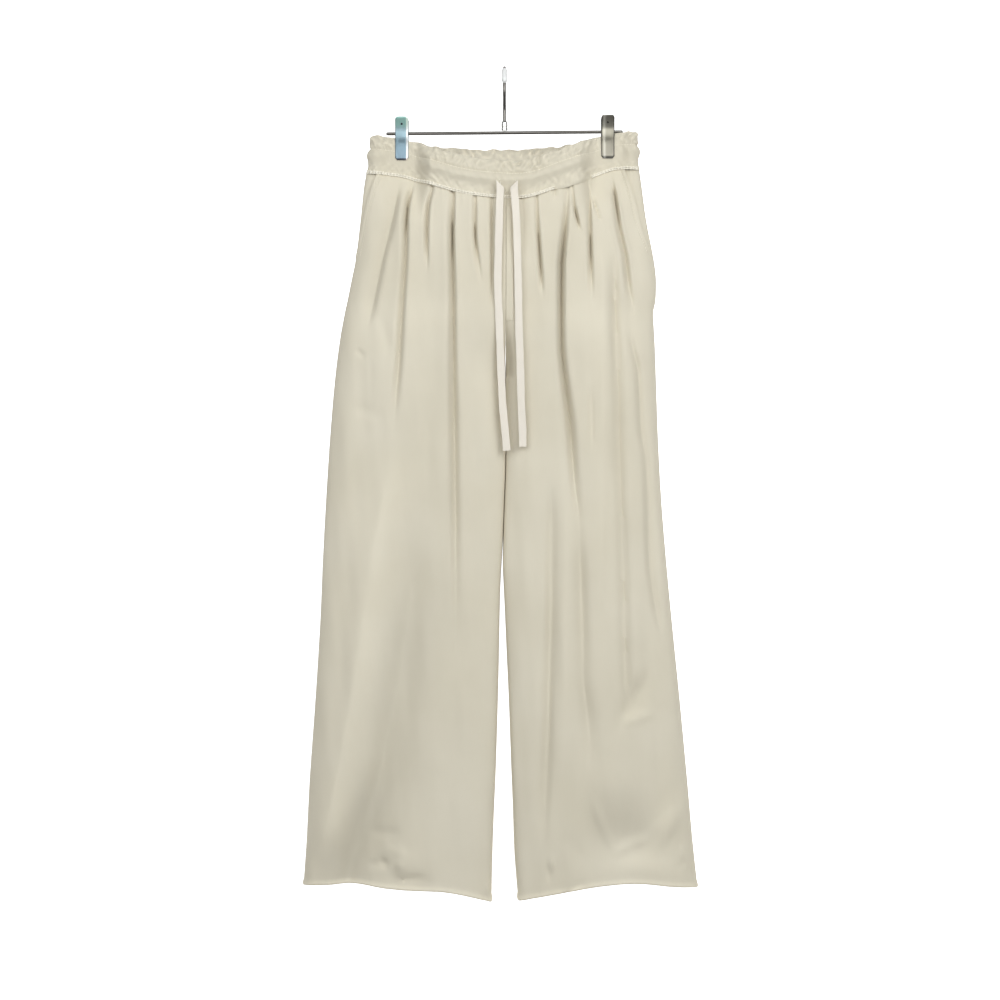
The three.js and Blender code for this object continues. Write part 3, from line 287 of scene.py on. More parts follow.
OVERLOCK = {"ups": (0.5, 2.5), "radius": 1.1, "sides": 8, "twist": 3.7, "swell": 0.3, "raised": 0.65,
            "step": 0.7, "apart": 23}
BUTTONHOLE = {"beside": 1.2, "half_wide": 1.5, "half_tall": 4, "below": 3.4, "radius": 0.62, "raised": 0.2}
STITCH = {"long": 2.6, "radius": 0.28, "pitch": 1.35}
HEM_STITCH = {"long": 2.4, "radius": 0.24, "above_roll": 1.4}
POCKET_ROWS = (1.8, 5.5)  # the two stitch rows, in from the mouth's edge

# ---- Drawstring, in metres: each free end's route from its buttonhole down ----

TAPE = {"wide": 0.0094, "thick": 0.0012, "rings": 150, "around": 28, "flatness": 0.35, "softness": 0.8}
# The top is turned over on a slant, this far down and out, and the last stretch is a stitched turn.
TAPE_TOP = {"slant": 8.5, "until": 17, "full": 3, "forward": 1.1, "forward_until": 20, "forward_full": 6}
TAPE_END = {"turned": 6.5, "blend": 1.0, "thicker": 0.5}
TAPE_ROUTES = {
    "left": [
        (-0.0056, -0.0346, -0.143), (-0.0052, -0.037, -0.149), (-0.0054, -0.0386, -0.158),
        (-0.006, -0.0396, -0.17), (-0.0068, -0.0402, -0.199), (-0.0076, -0.0404, -0.23),
        (-0.0083, -0.0402, -0.267), (-0.0077, -0.0398, -0.29), (-0.0068, -0.0394, -0.311),
        (-0.0058, -0.0386, -0.341), (-0.0045, -0.0376, -0.372), (-0.0035, -0.0366, -0.396),
        (-0.0025, -0.0358, -0.417), (-0.0009, -0.0348, -0.436), (0.0008, -0.034, -0.454),
        (0.0027, -0.0332, -0.477),
    ],
    "right": [
        (0.0119, -0.0346, -0.143), (0.0117, -0.037, -0.149), (0.0122, -0.0388, -0.158),
        (0.0132, -0.0398, -0.17), (0.015, -0.0404, -0.199), (0.0159, -0.0406, -0.23),
        (0.0167, -0.0404, -0.267), (0.0172, -0.04, -0.292), (0.0178, -0.0396, -0.326),
        (0.0186, -0.0388, -0.349), (0.0194, -0.038, -0.372), (0.02, -0.037, -0.395),
        (0.0205, -0.036, -0.416), (0.0215, -0.035, -0.436), (0.0223, -0.0342, -0.454),
        (0.0226, -0.0336, -0.472),
    ],
}
TAPE_LENGTH = {"left": 0.335, "right": 0.33}

# ---- Hanger, in millimetres ----

BAR = {"length": 296, "radius": 2, "down": 79.1, "tilt": 0.5}
HOOK = {"wire": 2, "seat": 19, "lean": -45, "tip": 172, "bend_down": 52, "stem_down": 73}
SLEEVE = {"radius": 3.5, "from": 130, "to": 174}
FERRULE = table("up radius", [
    (0, 0), (0, 3.4), (0.5, 4), (3.4, 4), (3.9, 3.6), (4.6, 3.6), (5.1, 4), (9.6, 4), (10.6, 3.7),
    (11.6, 3.1), (12, 2.5), (12, 2.3), (2.5, 2.3), (2.5, 0),
])
FERRULE_BOTTOM = 76.5
CLIP = {"wide": 16.6, "plate": 1.2, "above": 20.4, "below": 33.4, "corner": 4, "hole": 1.75, "hole_up": 11.2,
        "rivet_rim": 0.35, "bend": 1.6, "dish": 0.35, "sheet": 0.9}
CLIP_GRID = {"rings": 22, "sides": 96}
CLIPS = {"left": -128.2, "right": 129}
CLIP_BLIND = 0.05  # the back leaf's hole is stopped by its rivet
PINCHED = 3.2
JAW_GRIP = {"flat": 15, "reach": 38, "full_down": 117, "gone_down": 190}
JAW_FACE = PINCHED + SEAM_GAP / 2 + SEAM_GAP
LEAF_LINE = table("z y", [(-33.4, JAW_FACE), (-13, JAW_FACE), (-6, 5), (4, 5.2), (20.4, 8.6)])
CLIP_SPRING = {"wire": 0.55, "radius": 3.0, "half": 4.6, "turns": 7}


# ---- Small mathematics ----

def ease(start, end, value):
    """Goes smoothly from 0 at start to 1 at end: t squared times (3 - 2t)."""
    t = np.clip((value - start) / (end - start), 0, 1)
    return t * t * (3 - 2 * t)


def lerp(a, b, t):
    return a + (b - a) * t


def curve_through(at, values):
    """A cubic Hermite curve, whose slope at a point is its two neighbours', level past the ends."""
    at = np.asarray(at, float)
    values = np.asarray(values, float)
    last = len(at) - 1
    before = np.maximum(np.arange(last + 1) - 1, 0)
    after = np.minimum(np.arange(last + 1) + 1, last)
    slopes = (values[after] - values[before]) / (at[after] - at[before])

    def curve(x):
        x = np.clip(x, at[0], at[-1])
        i = np.clip(np.searchsorted(at, x, side="right") - 1, 0, last - 1)
        span = at[i + 1] - at[i]
        t = (x - at[i]) / span
        u = 1 - t
        return (u * u * (1 + 2 * t) * values[i] + t * t * (3 - 2 * t) * values[i + 1]
                + span * t * u * (u * slopes[i] - t * slopes[i + 1]))
    return curve


def column(rows, at, name):
    return curve_through(rows[at], rows[name])


def unit(vectors):
    return vectors / np.maximum(np.linalg.norm(vectors, axis=-1, keepdims=True), 1e-12)


# ---- The shape of the cloth ----

OUTWARD = {"front": -1, "back": 1}
fullness = {face: column(FULLNESS, "down", face) for face in OUTWARD}
waist_seam = {face: column(WAIST_SEAM, "x", face) for face in OUTWARD}
centre_edge = column(CENTRE_EDGE, "down", "x")
band_proud = column(BAND_PROFILE, "up", "proud")


def make_half(name, to_centre):
    return {
        "name": name,
        "to_centre": to_centre,
        "waist": WAIST_DOWN[name],
        "hem": HEM_DOWN[name],
        "side_edge": column(SIDE_EDGE, "down", name),
        "inseam": column(INSEAM_EDGE, "down", name),
        "hem_line": column(HEM_LINE, "share", name),
        "pocket_mouth": column(POCKET_MOUTH, "drop", name),
    }


HALVES = {"left": make_half("left", 1), "right": make_half("right", -1)}


def make_fold(fold):
    drops, places = zip(*fold["path"])
    return {**fold, "top": drops[0], "end": drops[-1], "x": curve_through(drops, places)}


folds = {"front": [make_fold(f) for f in FRONT_FOLDS], "back": [make_fold(f) for f in BACK_FOLDS]}


def end_angle(down):
    """90 degrees where two halves make one tube, 180 where each leg is a tube of its own."""
    return (np.pi / 2) * (1 + ease(RISE_CURVE_DOWN, CROTCH_DOWN, down))


def inner_edge(half, down, gap):
    """The x of a half's inner edge: the centre seam, then the inseam, where the two thighs touch."""
    seam = centre_edge(down) - half["to_centre"] * gap / 2
    touching = half["to_centre"] * THIGHS_TOUCH["by"] * ease(THIGHS_TOUCH["to"], THIGHS_TOUCH["from"], down)
    return np.where(down > CROTCH_DOWN, half["inseam"](down) + touching, seam)


def clip_grip(x, down):
    """1 between a clip's jaws, 0 away from them."""
    near = [ease(JAW_GRIP["reach"], JAW_GRIP["flat"], np.abs(x - at)) for at in CLIPS.values()]
    across = np.maximum(*near)
    return across * ease(JAW_GRIP["gone_down"], JAW_GRIP["full_down"], down)


def pressed_in(face, x, drop, down):
    """Depth of all folds, dents and creases. A fold is depth * (1 - lift * q) * exp(-q), with q a
    power of the distance over its width, which is narrower on the steep side. A slit is a narrow
    exp(-q) along the top of a pleat. A crease is exp(-q) of the distance to its line."""
    total = np.zeros(np.broadcast(x, drop).shape)
    crisp = lerp(CRISP["at_seam"], 1, ease(0, CRISP["below"], drop))
    opened = lerp(1, FOLD_OPENS["by"], ease(FOLD_OPENS["from"], FOLD_OPENS["to"], drop))
    lift = lerp(FOLD_LIFT["at_seam"], FOLD_LIFT["below"], ease(FOLD_LIFT["from"], FOLD_LIFT["to"], drop))
    for fold in folds[face]:
        strength = lerp(fold["begin"], 1, ease(fold["top"], fold["top"] + fold["rise"], drop))
        strength = strength * ease(fold["end"], fold["end"] - fold["fade"], drop) * (drop >= fold["top"])
        off = x - fold["x"](drop)
        sharp = (crisp if fold["slit"] else 1) * (opened if fold["steep"] < 6 else 1)
        q = np.abs(off / np.where(off > 0, fold["steep"] * sharp, fold["soft"])) ** FOLD_POINTED
        total += fold["depth"] * strength * (1 - lift * q) * np.exp(-q)
        if fold["slit"]:
            first, last = fold["slit"]
            shut = ease(first, first + SLIT["opens"], drop)
            shut = shut * ease(last, lerp(first, last, SLIT["closes"]), drop)
            total += SLIT["deep"] * shut * np.exp(-((off + SLIT["beside"]) / SLIT["wide"]) ** 2)
    for dent in zip(*DENTS[face].values()):
        at, place, wide, tall, lean, depth = dent
        beside = x - place - lean * (drop - at)
        total += depth * np.exp(-(beside / wide) ** 2 - ((drop - at) / tall) ** 2)
    for crease in zip(*CREASES[face].values()):
        x1, down1, x2, down2, wide, depth = crease
        length = math.hypot(x2 - x1, down2 - down1)
        along = ((x - x1) * (x2 - x1) + (down - down1) * (down2 - down1)) / length ** 2
        aside = ((x - x1) * (down2 - down1) - (down - down1) * (x2 - x1)) / length
        total += depth * ease(-0.15, 0.35, along) * ease(1.15, 0.65, along) * np.exp(-(aside / wide) ** 2)
    return total


def painted_fold_shade(face, x, drop):
    """How much painted shade a place takes, in mm of the depth of the soft folds and dents it lies in: the
    sum of depth * exp(-q), with q the square of the distance over the fold's width, and the patches."""
    total = np.zeros(np.broadcast(x, drop).shape)
    for fold in folds[face]:
        strength = ease(fold["top"], fold["top"] + max(fold["rise"], PAINTED_SHADE_RISE), drop)
        strength = strength * ease(fold["end"], fold["end"] - fold["fade"], drop) * (drop >= fold["top"])
        off = x - fold["x"](drop)
        spread = PAINTED_SHADE_SPREAD * np.where(off > 0, fold["steep"], fold["soft"])
        total += fold["depth"] * strength * np.exp(-(off / spread) ** 2)
    # soft-edged patches of painted shade, and of painted light where the depth is negative
    for at, place, wide, tall, lean, depth in zip(*PAINTED_SHADE_PATCHES[face].values()):
        beside = x - place - lean * (drop - at)
        total += depth * np.exp(-(beside / wide) ** 4 - ((drop - at) / tall) ** 4)
    return total


def unevenness(face, x, drop, down):
    """Broad ripples over the panel, and small puckers that fade below the waist seam."""
    side = 0 if face == "front" else 2.3
    total = np.zeros(np.broadcast(x, drop).shape)
    for pitch, slant, size, phase in zip(*RIPPLES.values()):
        total += size * np.sin(2 * np.pi * (x + slant * down) / pitch + phase + side)
    gathered = np.exp(-np.maximum(drop, 0) / PUCKER_FADE)
    for pitch, size, phase in zip(*PUCKERS.values()):
        bent = x + 1.7 * np.sin(x / 13 + phase + side)
        total += size * gathered * np.sin(2 * np.pi * bent / pitch + phase)
    return total


def cloth(half, face, share, drop, gap=SEAM_GAP, waist=None):
    """The cloth's outer face: half a lens from the side seam, angle = acos(1 - share(1 - cos end)) and
    fullness * sin(angle), squarer past 90 degrees, flattened by the clips and pressed in by the folds.
    Gives the points, the ways out and the grip."""
    waist = half["waist"] if waist is None else waist
    down = waist + drop
    outer = half["side_edge"](down)
    across = inner_edge(half, down, gap) - outer
    end = end_angle(down)
    angle = np.arccos(np.clip(1 - share * (1 - np.cos(end)), -1, 1))
    square = np.where(angle > np.pi / 2, INNER_SQUARE, 1)
    sine = np.maximum(np.sin(angle), 1e-6)
    x = outer + across * share
    grip = clip_grip(x, down)
    full = lerp(fullness[face](down) * sine ** square, PINCHED, grip)
    press = np.minimum(pressed_in(face, x, drop, down) * ease(2, 16, full), FOLD_LIMIT * full)
    uneven = unevenness(face, x, drop, down) * ease(2, 16, full) * (1 - grip) * (drop > 0)
    dip = (waist_seam[face](x) - waist) * (1 - ease(0, WAIST_EASE, drop))
    slope = (half["hem_line"](share) - half["hem"]) * ease(half["hem"] - HEM_EASE, half["hem"], down)
    run = np.abs(across) * sine / (1 - np.cos(end))
    climb = fullness[face](down) * square * sine ** (square - 1) * np.cos(angle) * (1 - grip)
    size = np.hypot(run, climb)
    at = np.stack([x, OUTWARD[face] * (SEAM_GAP / 2 + full - press + uneven), -down - dip - slope], -1)
    out = np.stack([-half["to_centre"] * climb / size, OUTWARD[face] * run / size, 0 * x], -1)
    return at, out, grip


def column_shares(half, face, drop):
    """The shares of a panel's columns at each drop. They follow the folds to their ends."""
    def share_at(x, at):
        outer = half["side_edge"](half["waist"] + at)
        return (x - outer) / (inner_edge(half, half["waist"] + at, SEAM_GAP) - outer)

    start = np.zeros_like(drop)
    if face == "front":
        mouth = np.maximum(share_at(half["pocket_mouth"](drop), drop), 0)
        start = np.where(drop < POCKET_MOUTH["drop"][-1], mouth, 0)
    shares = [start]
    for name, steps in COLUMNS[face, half["name"]]:
        reached = np.ones_like(drop)
        for fold in folds[face]:
            if fold["name"] == name:
                at = np.minimum(drop, fold["end"])
                reached = share_at(fold["x"](at), at)
        t = np.arange(1, steps + 1) / steps
        crowded = t - COLUMN_CROWDING * np.sin(2 * np.pi * t) / (2 * np.pi)
        shares.append(lerp(start, reached, crowded[None, :]))
        start = reached
    return np.concatenate(shares, axis=1)


def panel_courses(half, face):
    """Drops of the courses, close together below the waist seam and in the hem's roll."""
    hem = half["hem"] - half["waist"]
    drops = [np.array([SEAM_GAP / 2])]
    for count, to in COURSES[face]:
        to = hem - HEM_ROLL["tall"] if to is None else to
        drops.append(np.linspace(drops[-1][-1], to, count + 1)[1:])
    turn = np.linspace(0, np.pi / 2, HEM_ROLL["courses"] + 1)[1:]
    drops.append(hem - HEM_ROLL["tall"] * (1 - np.sin(turn)))
    return np.concatenate(drops)[:, None]


# ---- Meshes ----

def make_object(name, points, faces, material, uv=None, sharp=60, painted_shade=None):
    """A mesh object from points in metres and faces of four corners, smooth up to the sharp angle. The last
    argument is a painted shade: a number for each point that its material reads, to paint it darker or paler."""
    mesh = bpy.data.meshes.new(name)
    points = np.asarray(points, np.float32).reshape(-1, 3)
    faces = np.asarray(faces, np.int32).reshape(-1, 4)
    mesh.vertices.add(len(points))
    mesh.vertices.foreach_set("co", points.ravel())
    mesh.loops.add(faces.size)
    mesh.loops.foreach_set("vertex_index", faces.ravel())
    mesh.polygons.add(len(faces))
    mesh.polygons.foreach_set("loop_start", np.arange(0, faces.size, 4, dtype=np.int32))
    if uv is not None:
        layer = mesh.uv_layers.new(name="UVMap")
        layer.data.foreach_set("uv", np.asarray(uv, np.float32).reshape(-1, 2)[faces.ravel()].ravel())
    # the painted shade, stored on each point for the material
    if painted_shade is not None:
        mesh.attributes.new("painted_shade", "FLOAT", "POINT").data.foreach_set("value", np.float32(painted_shade).ravel())
    mesh.update(calc_edges=True)
    mesh.shade_smooth()
    mesh.set_sharp_from_angle(angle=math.radians(sharp))
    mesh.materials.append(material)
    obj = bpy.data.objects.new(name, mesh)
    bpy.context.collection.objects.link(obj)
    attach(obj, "root")
    return obj


def grid_faces(rows, columns, start=0, wrap=False):
    """Faces of a grid of points, each with its corners in the order (0,0), (1,0), (1,1), (0,1)."""
    i, j = np.meshgrid(np.arange(rows - 1), np.arange(columns if wrap else columns - 1), indexing="ij")
    after = (j + 1) % columns
    corners = [i * columns + j, (i + 1) * columns + j, (i + 1) * columns + after, i * columns + after]
    return np.stack(corners, -1).reshape(-1, 4) + start


def pointing_out(points, faces):
    """The faces, turned round where the closed mesh's volume comes out negative."""
    a, b, c, d = (points[faces[:, k]] for k in range(4))
    volume = np.sum(a * (np.cross(b, c) + np.cross(c, d)))
    return faces if volume > 0 else faces[:, ::-1]


def shell(name, outer, inner, material, uv, painted_shade=0.0):
    """A closed thin wall between two grids of points in millimetres."""
    rows, columns = outer.shape[:2]
    count = rows * columns
    top = grid_faces(rows, columns)
    bottom = grid_faces(rows, columns, count)[:, ::-1]
    rim = np.concatenate([
        np.arange(columns), (np.arange(1, rows)) * columns + columns - 1,
        (rows - 1) * columns + np.arange(columns - 2, -1, -1), np.arange(rows - 2, 0, -1) * columns,
    ])
    after = np.roll(rim, -1)
    sides = np.stack([rim, after, after + count, rim + count], -1)
    points = np.concatenate([outer.reshape(-1, 3), inner.reshape(-1, 3)]) * MM
    faces = pointing_out(points, np.concatenate([top, bottom, sides]))
    # painted shade for each point, the same on both faces
    painted_shades = np.stack([painted_shade + np.zeros((rows, columns))] * 2)
    return make_object(name, points, faces, material, np.concatenate([uv.reshape(-1, 2)] * 2), painted_shade=painted_shades)


def tube(name, path, radii, material, sides=12):
    """A round profile carried along a path in millimetres, closed at both ends. Its frame is carried
    along without twist."""
    path = np.asarray(path, float)
    count = len(path)
    radii = np.broadcast_to(np.asarray(radii, float), (count,))
    along = unit(np.gradient(path, axis=0))
    first = np.cross(along[0], [1.0, 0, 0])
    if np.linalg.norm(first) < 0.1:
        first = np.cross(along[0], [0, 0, 1.0])
    beside = np.empty_like(path)
    beside[0] = unit(first)
    for k in range(1, count):  # one turn of the frame for each ring of the path
        beside[k] = unit(beside[k - 1] - along[k] * np.dot(beside[k - 1], along[k]))
    over = np.cross(along, beside)
    a = np.linspace(0, 2 * np.pi, sides, endpoint=False)
    ring = (np.cos(a)[None, :, None] * beside[:, None] + np.sin(a)[None, :, None] * over[:, None])
    points = path[:, None] + ring * radii[:, None, None]
    return closed_tube(name, points, material)


def closed_tube(name, rings, material, sharp=60, uv=None):
    """Rings of points in millimetres, joined, and closed at both ends by a ring drawn to a point."""
    middle = rings.mean(axis=1, keepdims=True)
    start = np.repeat(middle[:1], rings.shape[1], axis=1)
    end = np.repeat(middle[-1:], rings.shape[1], axis=1)
    rings = np.concatenate([lerp(start, rings[:1], 0.02), rings, lerp(end, rings[-1:], 0.02)])
    rows, columns = rings.shape[:2]
    points = rings.reshape(-1, 3)
    centres = np.concatenate([start[0, :1], end[0, :1]])
    points = np.concatenate([points, centres]) * MM
    faces = grid_faces(rows, columns, wrap=True)
    j = np.arange(0, columns, 2)
    first = np.stack([np.full_like(j, rows * columns), j, (j + 1) % columns, (j + 2) % columns], -1)
    base = (rows - 1) * columns
    last = np.stack([np.full_like(j, rows * columns + 1), base + (j + 2) % columns, base + (j + 1) % columns,
                     base + j], -1)
    faces = np.concatenate([faces, first, last])
    return make_object(name, points, pointing_out(points, faces), material, uv, sharp)


# ---- Materials ----

# How the painted shade number paints the cloth's colour, from palest to dimmest
PAINTED_SHADE_TONE = {"from": -16.0, "to": 16.0, "palest": 1.14, "dimmest": 0.86}
TWILL = {"tone": 9.0, "ribs": 330.0, "slubs": (900.0, 60.0, 1.0), "slub_share": 0.45, "shade": (0.965, 1.025)}
TAPE_WEAVE = {"tone": 60.0, "ribs": 300.0, "tone_share": 0.4}
THREAD_PLIES = 900.0
STEEL_SMEAR = {"scale": 220.0, "tint": 0.12}
PLATE_BRUSH = {"stretch": (9.0, 1.6, 1.0), "scale": 4.0, "shade": (0.86, 1.12), "metal": 0.55}
VINYL_MOTTLE = 260.0
WIRE_TINTS = (0.18, 0.168, 0.15), (0.22, 0.205, 0.185)
FERRULE_TINTS = (0.62, 0.61, 0.58), (0.72, 0.71, 0.68)


def greys(stops):
    return [(at, (level, level, level)) for at, level in stops]


# Each clip's leaf: a ramp of colours up it, a ramp of painted shade across it towards its side edges, and a
# painted highlight added near one edge. The first and darkest stop up the leaf also paints its inside face,
# as painted shade.
CLIP_STEEL_AND_PAINTED_LIGHT = {
    "left": {
        # Steel with a painted blue and green reflection, paler towards the top and dark along its bottom
        # edge; its painted highlight is near its right edge.
        "name": "steel_painted_blue_reflection",
        "heights": [
            (0.0, (0.02, 0.025, 0.035)), (0.03, (0.02, 0.025, 0.035)), (0.05, (0.20, 0.28, 0.34)),
            (0.45, (0.22, 0.32, 0.37)), (0.7, (0.31, 0.43, 0.47)), (0.82, (0.29, 0.50, 0.45)),
            (0.97, (0.32, 0.54, 0.48)),
        ],
        "across": greys([(0.0, 0.6), (0.12, 0.95), (0.8, 1), (1, 0.8)]),
        "painted_highlights": [
            (0.8, (0, 0, 0)), (0.86, (0.5, 0.42, 0.36)), (0.93, (0.5, 0.42, 0.36)), (0.97, (0.1, 0.1, 0.1)),
        ],
        "roughness": 0.3,
    },
    "right": {
        # Grey nickel, dark along its bottom edge and over its top, with a painted highlight band below the
        # top and a painted highlight stripe near its left side.
        "name": "grey_nickel",
        "heights": [
            (0.0, (0.03, 0.027, 0.02)), (0.04, (0.05, 0.045, 0.035)), (0.07, (0.27, 0.25, 0.20)),
            (0.5, (0.27, 0.25, 0.195)), (0.66, (0.34, 0.315, 0.25)), (0.73, (0.16, 0.15, 0.12)),
            (0.97, (0.10, 0.093, 0.075)),
        ],
        "across": greys([(0.0, 0.3), (0.04, 0.36), (0.1, 1), (0.88, 0.95), (0.95, 0.36), (1, 0.3)]),
        "painted_highlights": [(0.12, (0, 0, 0)), (0.24, (0.16, 0.155, 0.14)), (0.4, (0, 0, 0)), (1, (0, 0, 0))],
        "roughness": 0.34,
    },
}

TWILL_TINTS = [(0.3, (0.654, 0.597, 0.468)), (0.5, (0.675, 0.618, 0.49)), (0.72, (0.694, 0.638, 0.512))]
TAPE_TINTS = [(0.15, (0.75, 0.685, 0.58)), (0.55, (0.80, 0.735, 0.635)), (0.9, (0.84, 0.78, 0.685))]
THREAD_TINTS = [(0.3, (0.74, 0.69, 0.57)), (0.7, (0.84, 0.79, 0.67))]
VINYL_TINTS = [(0.3, (0.74, 0.74, 0.72)), (0.7, (0.84, 0.84, 0.82))]


def new_material(name, roughness, metallic=0.0, **sockets):
    """A material, its tree and its shader, with a value set on each named socket."""
    material = bpy.data.materials.new(name)
    material.use_nodes = True
    shader = material.node_tree.nodes["Principled BSDF"]
    for socket, value in {"Roughness": roughness, "Metallic": metallic, **sockets}.items():
        shader.inputs[socket.replace("_", " ")].default_value = value
    return material, material.node_tree, shader


def add_node(tree, kind, settings=None, links=None, **values):
    """A node of that kind, with its settings, its sockets' values and the links into its sockets."""
    node = tree.nodes.new(kind)
    for key, value in (settings or {}).items():
        setattr(node, key, value)
    for key, value in values.items():
        node.inputs[key.replace("_", " ")].default_value = value
    for key, socket in (links or {}).items():
        tree.links.new(socket, node.inputs[key])
    return node


def coordinates(tree):
    return add_node(tree, "ShaderNodeTexCoord").outputs


def noise(tree, vector, scale, detail):
    """A cloudy pattern."""
    pattern = add_node(tree, "ShaderNodeTexNoise", links={"Vector": vector}, Scale=scale, Detail=detail)
    return pattern.outputs["Fac"]


def ribs(tree, vector, scale, distortion, detail):
    """Diagonal ribs."""
    wave = add_node(tree, "ShaderNodeTexWave", {"bands_direction": "DIAGONAL"}, {"Vector": vector},
                    Scale=scale, Distortion=distortion, Detail=detail)
    return wave.outputs["Fac"]


def stretched(tree, vector, scale):
    return add_node(tree, "ShaderNodeMapping", links={"Vector": vector}, Scale=scale).outputs["Vector"]


def remap(tree, value, low, high, start=0.0, end=1.0):
    """A value between start and end, brought to between low and high."""
    node = add_node(tree, "ShaderNodeMapRange", links={"Value": value}, From_Min=start, From_Max=end,
                    To_Min=low, To_Max=high)
    return node.outputs["Result"]


def number(tree, operation, a, b):
    return add_node(tree, "ShaderNodeMath", {"operation": operation}, {0: a, 1: b}).outputs["Value"]


def colour(tree, operation, a, b):
    return add_node(tree, "ShaderNodeVectorMath", {"operation": operation}, {0: a, 1: b}).outputs["Vector"]


def mixed(tree, a, b, share):
    """Two numbers, with this share of the second."""
    return add_node(tree, "ShaderNodeMix", {"data_type": "FLOAT"}, {2: a, 3: b}, Factor=share).outputs[0]


def colour_ramp(tree, factor, stops):
    """A smooth ramp of colours at its stops."""
    node = add_node(tree, "ShaderNodeValToRGB", links={"Fac": factor})
    ramp = node.color_ramp
    while len(ramp.elements) < len(stops):
        ramp.elements.new(0.5)
    for element, (at, tint) in zip(ramp.elements, stops):
        element.position = at
        element.color = (*tint, 1)
    return node.outputs["Color"]


def add_bump(tree, shader, height, strength, distance):
    """Relief from a pattern."""
    bump = add_node(tree, "ShaderNodeBump", links={"Height": height}, Strength=strength, Distance=distance)
    tree.links.new(bump.outputs["Normal"], shader.inputs["Normal"])


def cotton_twill():
    """Ivory cotton: slight changes of tone over the cloth, a fine diagonal twill and slubs, and painted shade
    in its folds and painted light where it stands out, read from a number on each point."""
    material, tree, shader = new_material(
        "ivory_cotton_twill", 0.86, Sheen_Weight=0.12, Sheen_Roughness=0.55, Specular_IOR_Level=0.3)
    place = coordinates(tree)
    tint = colour_ramp(tree, noise(tree, place["Object"], TWILL["tone"], 3.0), TWILL_TINTS)
    twill = ribs(tree, place["UV"], TWILL["ribs"], 1.2, 2.0)
    slubs = noise(tree, stretched(tree, place["UV"], TWILL["slubs"]), 1.0, 3.0)
    weave = mixed(tree, twill, slubs, TWILL["slub_share"])
    # painted shade: the colour is made dimmer or paler by the number on each point
    painted_shade = add_node(tree, "ShaderNodeAttribute", {"attribute_name": "painted_shade"})
    dimmed = remap(tree, painted_shade.outputs["Fac"], PAINTED_SHADE_TONE["palest"], PAINTED_SHADE_TONE["dimmest"],
                   PAINTED_SHADE_TONE["from"], PAINTED_SHADE_TONE["to"])
    tone = number(tree, "MULTIPLY", remap(tree, weave, *TWILL["shade"]), dimmed)
    tree.links.new(colour(tree, "MULTIPLY", tint, tone), shader.inputs["Base Color"])
    add_bump(tree, shader, weave, 0.35, 0.0003)
    return material


def woven_tape():
    """Pale cotton tape: chevrons of a herringbone weave across its width."""
    material, tree, shader = new_material("pale_woven_tape", 0.84, Sheen_Weight=0.1, Specular_IOR_Level=0.3)
    place = coordinates(tree)
    herringbone = ribs(tree, place["UV"], TAPE_WEAVE["ribs"], 0.6, 1.0)
    tone = noise(tree, place["Object"], TAPE_WEAVE["tone"], 2.0)
    tint = colour_ramp(tree, mixed(tree, herringbone, tone, TAPE_WEAVE["tone_share"]), TAPE_TINTS)
    tree.links.new(tint, shader.inputs["Base Color"])
    add_bump(tree, shader, herringbone, 0.5, 0.0003)
    return material


def sewing_thread():
    """Pale overlock and stitching thread, with its plies."""
    material, tree, shader = new_material("pale_sewing_thread", 0.7)
    plies = noise(tree, coordinates(tree)["Object"], THREAD_PLIES, 1.0)
    tree.links.new(colour_ramp(tree, plies, THREAD_TINTS), shader.inputs["Base Color"])
    add_bump(tree, shader, plies, 0.4, 0.0002)
    return material


def plated_steel(name, low, high, roughness, from_z, to_z):
    """Plated steel whose tint changes from the bottom to the top of the piece, with a fine smear."""
    material, tree, shader = new_material(name, roughness, 1.0)
    place = coordinates(tree)
    axes = add_node(tree, "ShaderNodeSeparateXYZ", links={"Vector": place["Object"]})
    height = remap(tree, axes.outputs["Z"], 0.0, 1.0, from_z, to_z)
    smear = noise(tree, place["Object"], STEEL_SMEAR["scale"], 3.0)
    tint = number(tree, "ADD", height, remap(tree, smear, -STEEL_SMEAR["tint"], STEEL_SMEAR["tint"]))
    tree.links.new(colour_ramp(tree, tint, [(0.1, low), (0.9, high)]), shader.inputs["Base Color"])
    tree.links.new(remap(tree, smear, roughness * 0.8, roughness * 1.35), shader.inputs["Roughness"])
    return material


def clip_plate(name, heights, across, painted_highlights, roughness):
    """Pressed steel of a clip's leaf over its own UV map, which runs 0 to 1 across the leaf and up it: a
    ramp of tints with painted light and shade up the leaf times a ramp of painted shade across it, with a
    brushed smear and a painted highlight near one edge."""
    material, tree, shader = new_material(name, roughness, PLATE_BRUSH["metal"])
    place = coordinates(tree)
    axes = add_node(tree, "ShaderNodeSeparateXYZ", links={"Vector": place["UV"]})
    brushed = noise(tree, stretched(tree, place["UV"], PLATE_BRUSH["stretch"]), PLATE_BRUSH["scale"], 4.0)
    tint = colour_ramp(tree, axes.outputs["Y"], heights)
    # painted shade across the leaf, towards its side edges
    shade = colour_ramp(tree, axes.outputs["X"], across)
    plating_and_painted_shade = colour(tree, "MULTIPLY", tint, shade)
    brushed_with_painted_shade = colour(tree, "MULTIPLY", plating_and_painted_shade, remap(tree, brushed, *PLATE_BRUSH["shade"]))
    # painted highlight near one edge, added to the colour
    painted_edge_highlight = colour_ramp(tree, axes.outputs["X"], painted_highlights)
    tree.links.new(colour(tree, "ADD", brushed_with_painted_shade, painted_edge_highlight), shader.inputs["Base Color"])
    tree.links.new(remap(tree, brushed, roughness * 0.8, roughness * 1.3), shader.inputs["Roughness"])
    return material


